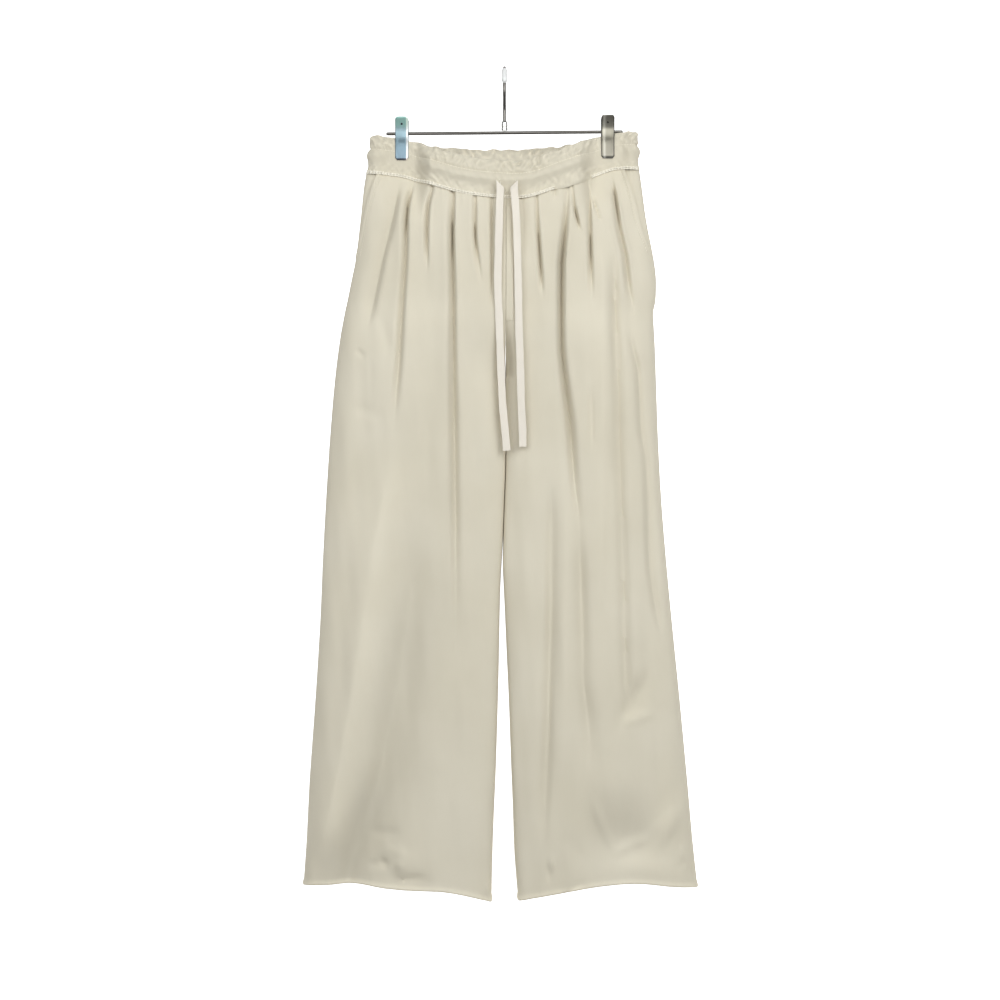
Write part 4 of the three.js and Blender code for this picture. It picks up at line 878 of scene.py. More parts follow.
def milky_vinyl():
    """The soft milky sleeve on the hook's tip, faintly mottled."""
    material, tree, shader = new_material(
        "milky_vinyl", 0.32, Subsurface_Weight=0.15, Subsurface_Radius=(0.002, 0.002, 0.002))
    mottle = noise(tree, coordinates(tree)["Object"], VINYL_MOTTLE, 2.0)
    tree.links.new(colour_ramp(tree, mottle, VINYL_TINTS), shader.inputs["Base Color"])
    add_bump(tree, shader, mottle, 0.2, 0.0002)
    return material


# ---- Camera, light and backdrop ----

CAMERA = {"at": (-0.0056, -3.1, -0.538), "sensor": 36.0, "view_width": 1.25}
FLOOR_Z = -1.17
STUDIO = {"near": -3.5, "back": 4.2, "half_width": 7.0, "top": 5.0, "bend": 1.2}
FLOOR_PAINTED_SHADE = {"from": -0.25, "to": 0.0, "tone": 0.16}  # painted shade: the floor in front is painted darker, as out of the light


def add_camera():
    lens = bpy.data.cameras.new("studio_camera")
    lens.sensor_width = CAMERA["sensor"]
    lens.lens = CAMERA["sensor"] * -CAMERA["at"][1] / CAMERA["view_width"]
    camera = bpy.data.objects.new("studio_camera", lens)
    camera.location = CAMERA["at"]
    camera.rotation_euler = (math.pi / 2, 0, 0)
    bpy.context.collection.objects.link(camera)
    bpy.context.scene.camera = camera


def add_backdrop():
    """A pale floor, painted darker in front as a painted shade, that bends up into a wall: a line, a quarter
    circle and a line, carried along X. It glows a little, a painted light, from the slacks' own place back,
    as a lit sweep does."""
    a = np.linspace(0, np.pi / 2, 25)
    bend = STUDIO["bend"]
    y = np.concatenate([[STUDIO["near"]], STUDIO["back"] - bend + bend * np.sin(a), [STUDIO["back"]]])
    z = np.concatenate([[FLOOR_Z], FLOOR_Z + bend * (1 - np.cos(a)), [STUDIO["top"]]])
    x = np.array([-STUDIO["half_width"], STUDIO["half_width"]])
    points = np.stack(np.broadcast_arrays(x[:, None], y[None], z[None]), -1)
    material, tree, shader = new_material("pale_backdrop", 0.9)
    shader.inputs["Emission Color"].default_value = (1, 1, 1, 1)
    place = add_node(tree, "ShaderNodeTexCoord")
    axes = add_node(tree, "ShaderNodeSeparateXYZ", links={"Vector": place.outputs["Object"]})
    glow = add_node(tree, "ShaderNodeMapRange", links={"Value": axes.outputs["Y"]},
                    From_Min=-0.06, From_Max=0.04, To_Min=0.0, To_Max=0.95)
    tree.links.new(glow.outputs["Result"], shader.inputs["Emission Strength"])
    # painted shade: the floor's colour darker in front of the slacks
    tone = add_node(tree, "ShaderNodeMapRange", links={"Value": axes.outputs["Y"]}, To_Min=FLOOR_PAINTED_SHADE["tone"],
                    From_Min=FLOOR_PAINTED_SHADE["from"], From_Max=FLOOR_PAINTED_SHADE["to"], To_Max=0.78)
    tree.links.new(tone.outputs["Result"], shader.inputs["Base Color"])
    shader.inputs["Specular IOR Level"].default_value = 0.1
    mesh = bpy.data.meshes.new("backdrop")
    mesh.from_pydata(points.reshape(-1, 3).tolist(), [], grid_faces(2, len(y))[:, ::-1].tolist())
    mesh.shade_smooth()
    mesh.materials.append(material)
    backdrop = bpy.data.objects.new("backdrop", mesh)
    bpy.context.collection.objects.link(backdrop)


def add_light(name, at, aim, size, spread, power):
    """A square softbox at a point, turned to face another, its beam held in to the spread in degrees."""
    lamp = bpy.data.lights.new(name, "AREA")
    lamp.spread = math.radians(spread)
    lamp.color = (0.955, 0.98, 1.0)
    lamp.size = size
    lamp.energy = power
    light = bpy.data.objects.new(name, lamp)
    light.location = at
    facing = unit(np.subtract(at, aim))
    light.rotation_euler = (math.acos(facing[2]), 0, math.atan2(facing[1], facing[0]) + math.pi / 2)
    bpy.context.collection.objects.link(light)


def add_studio():
    add_backdrop()
    add_light("key_light", (-1.2, -1.9, 0.3), (0, 0, -0.4), 1.7, 130, 13.2)
    add_light("top_light", (0.6, -1.8, 0.4), (0.15, 0, -0.45), 1.7, 130, 13.2)
    add_light("fill_light", (1.7, -2.1, 0.1), (0.2, 0, -0.5), 2.2, 130, 12.4)
    world = bpy.data.worlds.new("pale_room")
    world.use_nodes = True
    world.node_tree.nodes["Background"].inputs["Color"].default_value = (0.96, 0.98, 1.0, 1)
    world.node_tree.nodes["Background"].inputs["Strength"].default_value = 0.2
    bpy.context.scene.world = world
    bpy.context.scene.view_settings.view_transform = "Standard"


# ---- Drawstring ----

def smooth_path(points, count):
    """A Catmull-Rom curve through the points, evenly spaced along its length."""
    points = np.asarray(points, float)
    padded = np.concatenate([[2 * points[0] - points[1]], points, [2 * points[-1] - points[-2]]])
    t = np.linspace(0, 1, 24, endpoint=False)[:, None]
    pieces = [
        0.5 * (2 * b + (c - a) * t + (2 * a - 5 * b + 4 * c - d) * t ** 2 + (3 * b - a - 3 * c + d) * t ** 3)
        for a, b, c, d in zip(padded[:-3], padded[1:-2], padded[2:-1], padded[3:])
    ]
    line = np.concatenate([*pieces, points[-1:]])
    length = np.concatenate([[0], np.cumsum(np.linalg.norm(np.diff(line, axis=0), axis=1))])
    even = np.linspace(0, length[-1], count)
    return np.stack([np.interp(even, length, line[:, k]) for k in range(3)], 1)


def drawstring(side, material):
    """A flat section with rounded edges, carried down the route. It is slightly crowned, its edges wave
    a little, its top is turned over on a slant below the buttonhole, and its end has a stitched turn."""
    to_centre = HALVES[side]["to_centre"]
    path = smooth_path(TAPE_ROUTES[side], TAPE["rings"]) / MM
    wide, thick = TAPE["wide"] / MM, TAPE["thick"] / MM
    run = np.linspace(0, 1, len(path)) * TAPE_LENGTH[side] / MM
    along = unit(np.gradient(path, axis=0))
    twist = 0.12 * np.sin(run / 47 + 1.1 + to_centre) + 0.1 * np.sin(run / 23 + 2 * to_centre)
    beside = np.stack([np.cos(twist), np.sin(twist), 0 * run], 1)
    beside = unit(beside - along * np.sum(beside * along, 1, keepdims=True))
    over = np.cross(beside, along)
    a = np.linspace(0, 2 * np.pi, TAPE["around"], endpoint=False)
    across = np.sign(np.cos(a)) * np.abs(np.cos(a)) ** TAPE["flatness"]
    deep = np.sign(np.sin(a)) * np.abs(np.sin(a)) ** TAPE["softness"]
    width = wide * (1 + 0.025 * np.sin(run / 9 + to_centre) + 0.02 * np.sin(run / 3.7))
    end_turn = ease(run[-1] - TAPE_END["turned"], run[-1] - TAPE_END["turned"] + TAPE_END["blend"], run)
    thickness = thick * (1 + TAPE_END["thicker"] * end_turn)
    crease = 0.22 * np.sin(run / 7.3 + to_centre) * np.sin(run / 31 + 2 * to_centre)
    height = deep[None] * 0.5 * thickness[:, None] + crease[:, None] * across[None] ** 2
    spread = beside[:, None] * (across * 0.5)[None, :, None] * width[:, None, None]
    rings = path[:, None] + spread - over[:, None] * height[..., None]
    turned = ease(TAPE_TOP["until"], TAPE_TOP["full"], run)[:, None]
    rings[..., 2] -= TAPE_TOP["slant"] * turned * (across[None] * to_centre * 0.5 + 0.5)
    forward = ease(TAPE_TOP["forward_until"], TAPE_TOP["forward_full"], run)
    rings[..., 1] -= (TAPE_TOP["forward"] * forward)[:, None]
    uv = np.stack(np.broadcast_arrays(across[None] * wide * 0.5 * MM, run[:, None] * MM), -1)
    ends = np.concatenate([uv[:1], uv, uv[-1:]])
    uv = np.concatenate([ends.reshape(-1, 2), uv[0, :1], uv[-1, :1]])
    tape = closed_tube(f"drawstring_{side}_tape", rings, material, 60, uv)
    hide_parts(f"drawstring_{side}")


# ---- Legs ----

def uv_grid(at, drop):
    """Metres along the cloth: across each course, and down from the waist seam."""
    steps = np.linalg.norm(np.diff(at, axis=1), axis=-1)
    across = np.concatenate([np.zeros((len(at), 1)), np.cumsum(steps, axis=1)], axis=1)
    across -= across[:, -1:] * 0.5
    return np.stack(np.broadcast_arrays(across * MM, drop * MM), -1)


def rounded(distance, half):
    """How far a rounded edge falls away, at a distance from the edge: half a circle's sagitta."""
    u = np.clip(1 - distance / half, 0, 1)
    return half * (1 - np.sqrt(1 - u * u))


def leg_panel(half, face, material):
    """A panel between its seams, its edges sunk a little into the seams, with a rolled hem."""
    drop = panel_courses(half, face)
    share = column_shares(half, face, drop)
    at, out, _ = cloth(half, face, share, drop, gap=EDGE_GAP)
    above_hem = half["hem"] - half["waist"] - drop
    roll = HEM_ROLL["proud"] * ease(HEM_ROLL["tall"] + 1.2, HEM_ROLL["tall"] - 0.2, above_hem)
    sewn_off = (above_hem - HEM_ROLL["tall"] - HEM_SEW["above"]) / HEM_SEW["wide"]
    roll = roll - HEM_SEW["deep"] * np.exp(-sewn_off ** 2)
    roll = roll * (1 + HEM_SEW["pucker"] * np.sin(at[..., 0] / 1.1) * np.sin(at[..., 0] / 7.3))
    thick = CLOTH_WALL * 0.5 + np.maximum(roll, 0)
    fall = rounded(above_hem, thick)
    steps = np.linalg.norm(np.diff(at, axis=1), axis=-1)
    along = np.concatenate([np.zeros((len(at), 1)), np.cumsum(steps, axis=1)], axis=1)
    from_edge = np.minimum(along, along[:, -1:] - along)
    seam = SEAM_SINK["deep"] * np.exp(-(from_edge / SEAM_SINK["wide"]) ** 2) * np.abs(out[..., 1])
    seam = seam * (1 + SEAM_SINK["pucker"] * np.sin(drop / SEAM_SINK["pitch"]))
    turned = (face == "front") * (drop < POCKET_MOUTH["drop"][-1]) * (along < along[:, -1:] * 0.5)
    groove = POCKET_TURN["groove"] * np.exp(-((along - POCKET_TURN["at"]) / POCKET_TURN["wide"]) ** 2)
    groove = turned * (groove - POCKET_TURN["proud"] * ease(POCKET_TURN["at"], POCKET_TURN["inner"], along))
    raised = roll - fall - seam * (1 - turned) - groove
    outer = at + out * raised[..., None]
    inner = at + out * (np.minimum(raised, 0) - CLOTH_WALL - roll + 2 * fall * 0.999)[..., None]
    # painted highlight on the rolled edge and painted shade just above it, over the folds' painted shade
    at_edge = ease(HEM_ROLL["tall"] + 0.8, HEM_ROLL["tall"] - 0.4, above_hem)
    shade_off = (above_hem - HEM_ROLL["tall"] - HEM_PAINTED_SHADE["above"]) / HEM_PAINTED_SHADE["wide"]
    under = HEM_PAINTED_SHADE["under"] * np.exp(-shade_off ** 2)
    painted_shade = lerp(painted_fold_shade(face, at[..., 0], drop) + under, HEM_PAINTED_SHADE["edge"], at_edge)
    return shell(f"{face}_{half['name']}_panel", outer, inner, material, uv_grid(at, drop), painted_shade=painted_shade)


def finish_cloth(node):
    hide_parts(node)


def pocket_facing(half, material):
    """From the side seam to behind the front's edge, sinking under it on the way."""
    drop = np.linspace(SEAM_GAP / 2, FACING["long"], FACING["courses"])[:, None]
    front = column_shares(half, "front", drop)
    mouth = front[:, :1]
    behind = FACING["behind_column"]
    reach = np.maximum(front[:, behind:behind + 1], mouth + FACING["least"])
    t = np.linspace(0, 1, FACING["across"])[None]
    share = reach * t ** FACING["crowding"]
    at, out, _ = cloth(half, "front", share, drop, gap=EDGE_GAP)
    sunk = FACING["sunk"] * ease(0, FACING["sunk_by"] * np.maximum(mouth, 0.02), share)
    outer = at - out * sunk[..., None]
    inner = outer - out * FACING_WALL
    return shell(f"pocket_facing_{half['name']}_cloth", outer, inner, material, uv_grid(at, drop))


def fly_strip(half, material):
    """A narrow strip beside the centre seam on the right front, with rounded edges."""
    drop = np.linspace(FLY_STRIP["top"], FLY_STRIP["low"], FLY_STRIP["courses"])[:, None]
    down = half["waist"] + drop
    outer_edge = half["side_edge"](down)
    width = inner_edge(half, down, EDGE_GAP) - outer_edge
    low = (FLY_STRIP["from_x"] - outer_edge) / width
    share = lerp(low, 1.0, np.linspace(0, 1, FLY_STRIP["across"])[None])
    at, out, _ = cloth(half, "front", share, drop, gap=EDGE_GAP)
    across = np.abs(at[..., 0] - at[:, :1, 0])
    to_ends = np.minimum(drop - FLY_STRIP["top"], FLY_STRIP["taper"] * (FLY_STRIP["low"] - drop))
    edge = np.minimum(np.minimum(across, across[:, -1:] - across), to_ends)
    fall = rounded(edge, STRIP_WALL * 0.6)
    groove = STRIP_SEW["deep"] * np.exp(-((across - STRIP_SEW["from_edge"]) / STRIP_SEW["wide"]) ** 2)
    outer = at + out * (FLY_STRIP["lift"] + STRIP_WALL - fall - groove)[..., None]
    inner = at + out * EDGE_GAP
    return shell("fly_strip_cloth", outer, inner, material, uv_grid(at, drop))


# ---- Waistband ----

def gathers(x, up, face):
    """Sum over the gather rows of size * exp(-((up - at) / reach)^2) * cos(2 pi count), where count is
    (x + slant * up) / pitch, pulled about by its own sine so that the gathers are uneven."""
    shift = 0.0 if face == "front" else 5.3
    total = np.zeros(np.broadcast(x, up).shape)
    for pitch, beat, size, phase, at, reach, slant in zip(*BAND_GATHERS.values()):
        place = (x + shift + slant * (up - at)) / pitch
        count = place + 0.16 * np.sin(beat * place + phase) + 0.3 * np.sin(place / 3.1 + phase)
        loud = 0.65 + 0.35 * np.sin(place * 0.83 + 3 * phase)
        total += size * loud * np.exp(-((up - at) / reach) ** 2) * np.cos(2 * np.pi * (count + phase))
    return total


def zigzag(turns):
    """A rounded zigzag between -1 and 1: the arcsine of 0.94 times a sine, over a quarter turn."""
    return np.arcsin(0.94 * np.sin(2 * np.pi * turns)) * 2 / np.pi


def crumples(x, up, face):
    """Facets: the sum over the rows of zigzags along x and up, each pulled about by slow sines and by the
    other, fullest at the row's height and louder in some stretches of the band than in others."""
    shift = 0.0 if face == "front" else 47.0
    total = np.zeros(np.broadcast(x, up).shape)
    for number, (pitch, tall, lean, size, at, reach) in enumerate(zip(*CRUMPLES.values())):
        along = (x + shift) / pitch + 0.3 * np.sin(up / 6.1 + x / 23 + number)
        along = along + 0.22 * np.sin(x / 6.7 + 2 * number)
        level = up / tall + 0.45 * np.sin((x + shift) / 11.3 + number)
        loud = 0.6 + 0.4 * np.sin(x / 29 + 2.2 * number + shift)
        facets = 0.6 * zigzag(along + lean * level) + 0.4 * zigzag(level - 0.6 * along + 0.3)
        total += size * loud * facets * np.exp(-((up - at) / reach) ** 2)
    return total


def under_leaf(x, down):
    """1 where a clip's leaf lies on the band, 0 away from it."""
    near = [ease(UNDER_LEAF["blend"], UNDER_LEAF["half"], np.abs(x - at)) for at in CLIPS.values()]
    across = np.maximum(*near)
    return across * ease(UNDER_LEAF["gone_down"], UNDER_LEAF["down"], down)


def bar_z(x):
    return -BAR["down"] + x * math.tan(math.radians(BAR["tilt"]))


def band_surface(face, half, share, up):
    """The band's outer face at heights up from the waist seam: the cloth's form, the band's profile,
    its gathers and crumples, the soft fold over the seam and the header that leans in and passes under
    the bar. Gives the points, the ways out, and how far the outside and the inside are raised."""
    middle = (WAIST_DOWN["left"] + WAIST_DOWN["right"]) / 2
    waist = lerp(half["waist"], middle, ease(0.6, 1, share))
    at, out, grip = cloth(half, face, share, -SEAM_GAP / 2 - up, gap=0, waist=waist)
    x = at[..., 0]
    above = np.maximum(up - STITCH_LINE_UP, 0)
    room = bar_z(x) - BAR["radius"] - UNDER_BAR["clear"] - (STITCH_LINE_UP - waist_seam[face](x))
    kept = np.minimum(1, room / (BAND_TOP_UP - STITCH_LINE_UP))
    kept = lerp(1, kept, ease(UNDER_BAR["blend"], 1, np.abs(x) - BAR["length"] / 2))
    uneven_top = BAND_TOP_WAVE["big"] * np.sin(x / 5.1 + 0.8) * np.sin(x / 13.7)
    uneven_top = uneven_top + BAND_TOP_WAVE["small"] * np.sin(x / 2.9)
    uneven_top = uneven_top * ease(BAND_TOP_WAVE["from"], BAND_TOP_UP, up)
    at[..., 2] += (uneven_top - above * (1 - kept)) * (1 - 0.6 * grip)
    quiet = ease(2, 16, np.abs(at[..., 1]))
    wrinkled = gathers(x, up, face) + crumples(x, up, face)
    raised = band_proud(up)
    if face == "front":
        sag = np.exp(-((x - BAND_SAG["x"]) / BAND_SAG["wide"]) ** 4)
        low = ease(BAND_SAG["up"], 0, up)
        at[..., 2] -= BAND_SAG["down"] * sag * low
        raised = raised + BAND_SAG["proud"] * sag * np.exp(-((up - 3) / 5) ** 2)
    leaning = ease(30, BAND_TOP_UP, up) * ease(0, 20, np.abs(at[..., 1])) ** 0.5 * quiet
    raised = raised - BAND_LEAN[face] * leaning
    raised = raised * (1 - grip)
    inside = raised + INSIDE_CALM * wrinkled * quiet * (1 - grip)
    tight = np.maximum(wrinkled, -0.3) * 0.8
    outside = raised + lerp(tight, wrinkled, quiet) * (1 - under_leaf(x, -at[..., 2]))
    return at, out, outside, np.minimum(inside, outside + 1)


def waistband(face, material):
    """The band from side seam to side seam, with a folded, rounded top edge."""
    t = np.linspace(0, 1, BAND_GRID["across"])
    spread = t - 0.55 * np.sin(np.pi * t) / np.pi
    share = (spread / spread[-1])[None]
    turn = np.linspace(0, np.pi / 2, BAND_EDGE["steps"] + 1)[1:]
    flat = np.linspace(0, BAND_TOP_UP - BAND_EDGE["rounded"], BAND_GRID["courses"] - BAND_EDGE["steps"])
    up = np.concatenate([flat, BAND_TOP_UP - BAND_EDGE["rounded"] * (1 - np.sin(turn))])[:, None]
    left = band_surface(face, HALVES["left"], share, up)
    right = band_surface(face, HALVES["right"], share[:, ::-1], up)
    at, out, raised, inside = (np.concatenate([a, b[:, 1:]], axis=1) for a, b in zip(left, right))
    fall = rounded(BAND_TOP_UP - up, BAND_WALL * 0.5)
    outer = at + out * (raised - fall)[..., None]
    inner = at + out * (inside - BAND_WALL + fall * 0.999)[..., None]
    wrinkled = gathers(at[..., 0], up, face) + crumples(at[..., 0], up, face)
    # painted shade over the band: paler on its wrinkles' crests, darker in their troughs
    painted_shade = BAND_PAINTED_SHADE - BAND_PAINTED_CONTRAST * wrinkled
    return shell(f"waistband_{face}_cloth", outer, inner, material, uv_grid(at, -up), painted_shade=painted_shade)


def band_line(face, start, end, count, up, raised):
    """A line along the band between two x, at a height and a distance out of its surface."""
    x = np.linspace(start, end, count)
    points, ways = [], []
    for side, half in HALVES.items():
        mine = x[x <= 2] if side == "left" else x[x > 2]
        edge = half["side_edge"](half["waist"])
        share = np.clip((mine - edge) / (centre_edge(half["waist"]) - edge), 0, 1)
        at, out, proud, _ = band_surface(face, half, share[None], np.full((1, 1), up))
        points.append((at + out * (proud + raised)[..., None])[0])
        ways.append(out[0])
    return np.concatenate(points), np.concatenate(ways)


def overlock(face, material):
    """Two twisted ridges of thread along the waist seam, left out where the band sags over it."""
    stretches = [SEAM_ENDS]
    if face == "front":
        low, high = BAND_SAG["x"] - OVERLOCK["apart"], BAND_SAG["x"] + OVERLOCK["apart"]
        stretches = [(SEAM_ENDS[0], low), (high, SEAM_ENDS[1])]
    for number, (start, end) in enumerate(stretches):
        for row, up in enumerate(OVERLOCK["ups"]):
            count = int((end - start) / OVERLOCK["step"])
            path, _ = band_line(face, start, end, count, up, OVERLOCK["raised"])
            run = np.linspace(0, end - start, count)
            radii = OVERLOCK["radius"] * (1 + OVERLOCK["swell"] * np.sin(2 * np.pi * run / OVERLOCK["twist"]))
            radii *= 1 + 0.15 * np.sin(run / 11 + row * 2 + number)
            piece = tube(f"waist_overlock_{face}_{number}_{row}", path, radii, material, OVERLOCK["sides"])


def stitches(name, path, ways, material, long=STITCH["long"], radius=STITCH["radius"]):
    """A row of stitches: each a short low capsule of 5 rings of 6 points, laid along the path."""
    steps = np.linalg.norm(np.diff(path, axis=0), axis=1)
    run = np.concatenate([[0], np.cumsum(steps)])
    pitch = long * STITCH["pitch"]
    count = max(int(run[-1] / pitch), 1)
    centres = (np.arange(count) + 0.5) * pitch
    offsets = np.array([-0.5, -0.4, 0, 0.4, 0.5]) * long
    places = centres[:, None] + offsets[None]
    at = np.stack([np.interp(places, run, path[:, k]) for k in range(3)], -1)
    out = unit(np.stack([np.interp(places, run, ways[:, k]) for k in range(3)], -1))
    along = unit(at[:, 4:5] - at[:, :1])
    beside = unit(np.cross(along, out))
    size = np.array([0.25, 0.8, 1.0, 0.8, 0.25]) * radius
    a = np.linspace(0, 2 * np.pi, 6, endpoint=False)
    lift = np.array([-0.5, 0.1, 0.45, 0.1, -0.5]) * radius
    ring = (np.cos(a)[:, None] * beside[:, :, None] + np.sin(a)[:, None] * out[:, :, None])
    points = at[:, :, None] + ring * size[None, :, None, None] + (out * lift[None, :, None])[:, :, None]
    faces = grid_faces(5, 6, wrap=True)
    caps = np.array([[0, 1, 2, 3], [0, 3, 4, 5]])
    if pointing(points[0], faces):
        faces = np.concatenate([faces, caps[:, ::-1], caps + 24])
    else:
        faces = np.concatenate([faces[:, ::-1], caps, caps[:, ::-1] + 24])
    every = (faces[None] + 30 * np.arange(count)[:, None, None]).reshape(-1, 4)
    piece = make_object(name, points.reshape(-1, 3) * MM, every, material)


def pointing(points, faces):
    """Whether the faces of a tube of points look away from its middle."""
    flat = points.reshape(-1, 3)
    a, b, c = (flat[faces[:, k]] for k in range(3))
    away = (a + c) / 2 - flat.mean(axis=0)
    return np.sum(np.cross(b - a, c - a) * away) > 0


def panel_line(half, face, share, drop, raised):
    """A line on a panel through matching shares and drops, at a distance out of it."""
    at, out, _ = cloth(half, face, share[:, None], drop[:, None], gap=EDGE_GAP)
    return (at + out * raised)[:, 0], out[:, 0]


def pocket_stitching(half, material):
    """Two rows beside the pocket mouth's turned edge."""
    drop = np.linspace(4, POCKET_MOUTH["drop"][-1] - 2, 120)
    down = half["waist"] + drop
    outer = half["side_edge"](down)
    width = inner_edge(half, down, EDGE_GAP) - outer
    for row, inset in enumerate(POCKET_ROWS):
        place = half["pocket_mouth"](drop) + half["to_centre"] * inset
        path, ways = panel_line(half, "front", (place - outer) / width, drop, 0.1)
        stitches(f"pocket_stitches_{half['name']}_{row}", path, ways, material)


def hem_stitching(half, face, material):
    """One row just above the hem's roll."""
    share = np.linspace(0.01, 0.99, 260)
    above = HEM_ROLL["tall"] + HEM_STITCH["above_roll"]
    drop = np.full(share.shape, half["hem"] - half["waist"] - above)
    path, ways = panel_line(half, face, share, drop, 0.05)
    stitches(f"hem_stitches_{face}_{half['name']}", path, ways, material, HEM_STITCH["long"],
             HEM_STITCH["radius"])


def buttonhole(side, material):
    """A worked rim of thread round a narrow upright slot beside the tape's top."""
    exit_x, _, exit_z = (value / MM for value in TAPE_ROUTES[side][0])
    a = np.linspace(0, 2 * np.pi, 72)
    half = HALVES[side]
    x = exit_x - BUTTONHOLE["beside"] * half["to_centre"] + BUTTONHOLE["half_wide"] * np.cos(a)
    middle = waist_seam["front"](np.array([exit_x]))[0] + exit_z - BUTTONHOLE["below"]
    up = middle + BUTTONHOLE["half_tall"] * np.sin(a)
    edge = half["side_edge"](half["waist"])
    share = np.clip((x - edge) / (centre_edge(half["waist"]) - edge), 0, 1)
    at, out, proud, _ = band_surface("front", half, share[None], up[None])
    path = (at + out * (proud + BUTTONHOLE["raised"])[..., None])[0]
    radii = BUTTONHOLE["radius"] * (1 + 0.2 * np.sin(a * 31))
    piece = tube(f"buttonhole_{side}", path, radii, material, 8)


# ---- Hanger ----

def hanger_bar(material):
    """A straight wire with rounded ends: a circle carried along the bar, drawn in at both ends."""
    half, radius = BAR["length"] / 2, BAR["radius"]
    ends = half - radius * (1 - np.sin(np.linspace(0, np.pi / 2, 6)))
    x = np.concatenate([-ends[::-1], np.linspace(-half + radius, half - radius, 30)[1:-1], ends])
    past = np.maximum(np.abs(x) - half + radius, 0)
    radii = np.minimum(radius, np.sqrt(np.maximum(radius ** 2 - past ** 2, 0.04)))
    path = np.stack([x, 0 * x, bar_z(x)], 1)
    piece = tube("hanger_bar_wire", path, radii, material, 24)
    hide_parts("hanger_bar")


def hook_point(degrees):
    """A point of the hook's arc, from the back over the top to the front."""
    radius = HOOK["seat"] + HOOK["wire"]
    turn = np.radians(degrees)
    return np.stack([0 * turn, radius * np.cos(turn), radius * np.sin(turn) - HOOK["seat"]], -1)


def hanger_hook(material):
    """A stem, a smooth bend back, and the arc over the rod."""
    start = hook_point(np.array(HOOK["lean"], float))
    foot = np.array([0, 0, -HOOK["bend_down"]])
    corner = np.array([0, 0, start[2] - start[1]])
    t = np.linspace(0, 1, 24)[:, None]
    stem = np.linspace([0, 0, -HOOK["stem_down"]], foot, 14)
    bend = foot * (1 - t) ** 2 + corner * 2 * t * (1 - t) + start * t ** 2
    arc = hook_point(np.linspace(HOOK["lean"], HOOK["tip"], 90))
    path = np.concatenate([stem, bend[1:], arc[1:]])
    piece = tube("hanger_hook_wire", path, HOOK["wire"], material, 20)
    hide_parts("hanger_hook")


def hook_sleeve(material):
    """A sleeve over the tip: a tube along the arc with a rounded closed end and a soft open lip."""
    degrees = np.linspace(SLEEVE["from"], SLEEVE["to"], 40)
    tail = np.linspace(0, np.pi / 2, 10)[1:]
    reach = SLEEVE["radius"] * np.sin(tail) / (HOOK["seat"] + HOOK["wire"])
    degrees = np.concatenate([degrees, SLEEVE["to"] + np.degrees(reach)])
    lip = np.clip((degrees[:40] - SLEEVE["from"]) / 3, 0, 1)
    radii = np.concatenate([SLEEVE["radius"] * (0.8 + 0.2 * np.sqrt(lip)), SLEEVE["radius"] * np.cos(tail)])
    piece = tube("hook_sleeve_vinyl", hook_point(degrees), np.maximum(radii, 0.15), material, 24)
    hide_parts("hook_sleeve")


def turned_piece(name, rows, base_z, material, sides=40):
    """A profile of (up, radius) turned round the upright axis."""
    a = np.linspace(0, 2 * np.pi, sides, endpoint=False)
    radius, up = rows["radius"], rows["up"]
    height = (up + base_z)[:, None] + 0 * a
    rings = np.stack([radius[:, None] * np.cos(a), radius[:, None] * np.sin(a), height], -1)
    return closed_tube(name, rings[1:-1], material, 35)


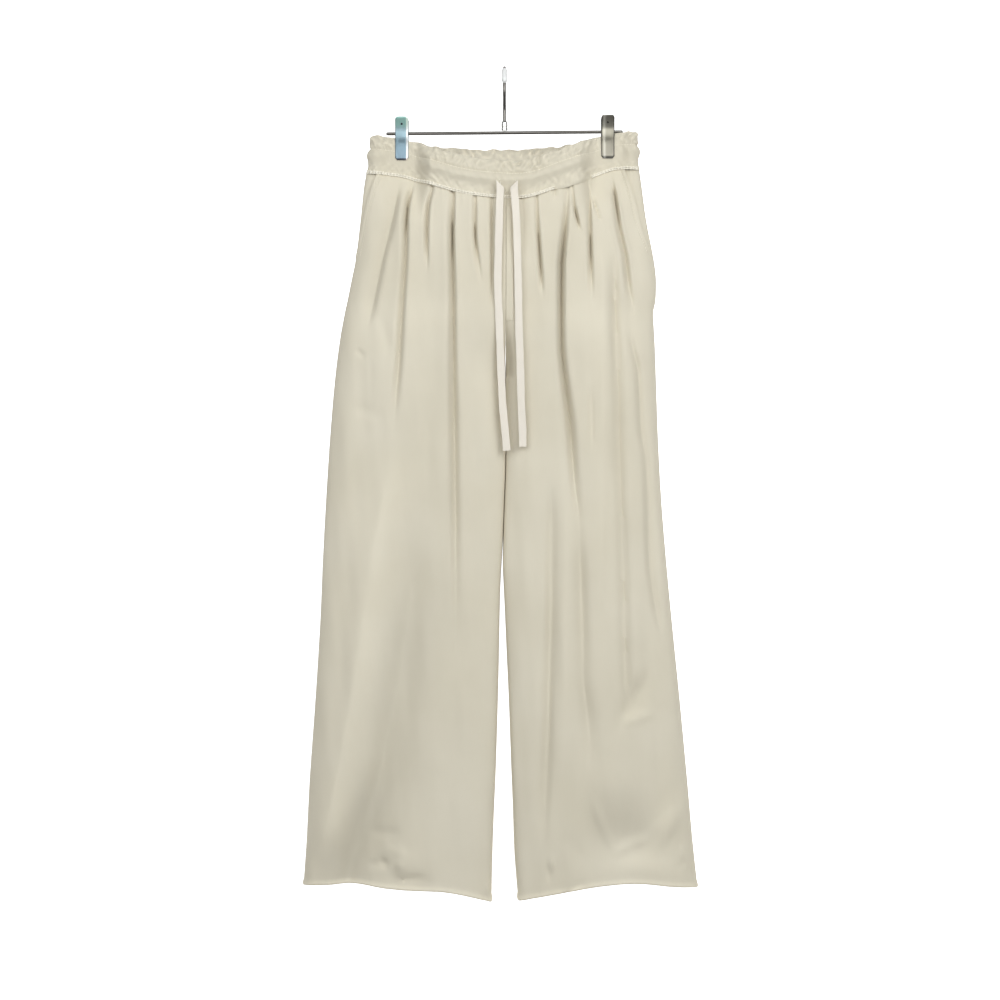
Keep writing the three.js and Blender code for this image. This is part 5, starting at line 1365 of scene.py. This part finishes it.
def clip_leaf(side, face, material):
    """A plate bent along its leaf line, with its side edges turned in, rounded top corners and a hole,
    and painted shade on its inside face, so that the hole looks dark.

    Across the leaf the plate is flat and then follows a quarter circle at each edge. The hole is a ring
    of the grid drawn to a circle, whose inside is left open."""
    out = OUTWARD[face]
    line = curve_through(LEAF_LINE["z"], LEAF_LINE["y"])
    half, low, high = CLIP["wide"] / 2, -CLIP["below"], CLIP["above"]
    hole_z = CLIP["hole_up"]
    radius = CLIP["hole"] - CLIP["rivet_rim"] if face == "front" else CLIP_BLIND
    rings, sides = CLIP_GRID["rings"], CLIP_GRID["sides"]
    bend = CLIP["bend"]
    a = np.linspace(0, 2 * np.pi, sides, endpoint=False)
    corner = CLIP["corner"]
    far = np.stack([np.cos(a), np.sin(a)], -1)
    reach_x = half / np.maximum(np.abs(far[:, 0]), 1e-9)
    to_top = (high - hole_z) / np.maximum(far[:, 1], 1e-9)
    to_low = (hole_z - low) / np.maximum(-far[:, 1], 1e-9)
    reach = np.minimum(reach_x, np.where(far[:, 1] > 0, to_top, to_low))
    rim = far * reach[:, None] + [0, hole_z]
    over = np.maximum(np.abs(rim[:, 0]) - (half - corner), 0), np.maximum(rim[:, 1] - (high - corner), 0)
    stick = np.hypot(*over)
    pull = np.where((over[0] > 0) & (over[1] > 0) & (stick > corner), corner / np.maximum(stick, 1e-9), 1)
    rim[:, 0] -= np.sign(rim[:, 0]) * over[0] * (1 - pull)
    rim[:, 1] -= over[1] * (1 - pull)
    hole = far * radius + [0, hole_z]
    t = np.linspace(0, 1, rings)[:, None, None]
    t = np.where(t < 0.5, t, 1 - (1 - t) ** 1.6 * 0.5 / 0.5 ** 1.6)
    flat = lerp(hole[None], rim[None], t)
    edge = np.clip((np.abs(flat[..., 0]) - (half - bend)) / bend, 0, 1)
    top_edge = np.clip((flat[..., 1] - (high - bend)) / bend, 0, 1)
    turned = bend * (1 - np.sqrt(np.maximum(1 - np.maximum(edge, top_edge) ** 2, 0)))
    inward = 1 - ease(half - 3.6, half - 2.2, np.abs(flat[..., 0]))
    dish = CLIP["dish"] * inward * ease(low + 2, low + 4, flat[..., 1])
    y = line(flat[..., 1]) + CLIP["plate"] - turned * 0.75 - dish * (side == "right")
    outer = np.stack([flat[..., 0], out * y, flat[..., 1]], -1)
    inner = outer.copy()
    inner[..., 1] -= out * CLIP["sheet"]
    place = np.array([CLIPS[side], 0, bar_z(CLIPS[side])])
    both = np.concatenate([outer, inner[::-1]]) + place
    uv = np.stack([flat[..., 0] / (2 * half) + 0.5, (flat[..., 1] - low) / (high - low)], -1)
    faces = grid_faces(2 * rings, sides, wrap=True)
    j = np.arange(sides)
    inside = np.stack([j, (j + 1) % sides, (2 * rings - 1) * sides + (j + 1) % sides,
                       (2 * rings - 1) * sides + j], -1)
    faces = np.concatenate([faces, inside])
    points = both.reshape(-1, 3) * MM
    # the inside face takes the ramp's darkest colour at the bottom of the leaf: painted shade
    uv = np.concatenate([uv, uv[::-1] * [1, 0]])
    piece = make_object(f"clip_{side}_{face}_leaf", points, pointing_out(points, faces), material, uv,
                        sharp=40)
    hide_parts(f"clip_{side}_{face}")


def clip_spring(side, material):
    """A wire wound round the bar: a helix of its turns."""
    turns = CLIP_SPRING["turns"]
    a = np.linspace(0, 2 * np.pi * turns, 26 * turns)
    x = np.linspace(-CLIP_SPRING["half"], CLIP_SPRING["half"], len(a))
    centre_z = bar_z(CLIPS[side])
    radius = CLIP_SPRING["radius"]
    path = np.stack([CLIPS[side] + x, radius * np.cos(a), centre_z + radius * np.sin(a)], 1)
    piece = tube(f"clip_{side}_spring_wire", path, CLIP_SPRING["wire"], material, 8)
    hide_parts(f"clip_{side}_spring")


# ---- The whole ----

add_camera()

tape_cloth = woven_tape()
for side_name in HALVES:
    drawstring(side_name, tape_cloth)

twill = cotton_twill()
thread = sewing_thread()

for half in HALVES.values():
    for face in OUTWARD:
        panel = leg_panel(half, face, twill)
        finish_cloth(f"{face}_{half['name']}")
        hem_stitching(half, face, thread)
    facing = pocket_facing(half, twill)
    finish_cloth(f"pocket_facing_{half['name']}")
    pocket_stitching(half, thread)

strip = fly_strip(HALVES["right"], twill)
finish_cloth("fly_strip")

for face in OUTWARD:
    band = waistband(face, twill)
    finish_cloth(f"waistband_{face}")
    overlock(face, thread)
    line_points, line_ways = band_line(face, *CHANNEL_ENDS, 480, STITCH_LINE_UP, 0.1)
    stitches(f"channel_stitches_{face}", line_points, line_ways, thread)
for side_name in HALVES:
    buttonhole(side_name, thread)

bar_steel = plated_steel("plated_wire", *WIRE_TINTS, 0.36, -0.085, 0.0)
hanger_bar(bar_steel)
hanger_hook(bar_steel)
hook_sleeve(milky_vinyl())
ferrule = turned_piece("hanger_ferrule_crimp", FERRULE, -FERRULE_BOTTOM,
                       plated_steel("pale_nickel", *FERRULE_TINTS, 0.2, -0.077, -0.064))
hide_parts("hanger_ferrule")
for side_name in CLIPS:
    leaf_steel = clip_plate(**CLIP_STEEL_AND_PAINTED_LIGHT[side_name])
    for face in OUTWARD:
        clip_leaf(side_name, face, leaf_steel)
    clip_spring(side_name, bar_steel)

add_studio()
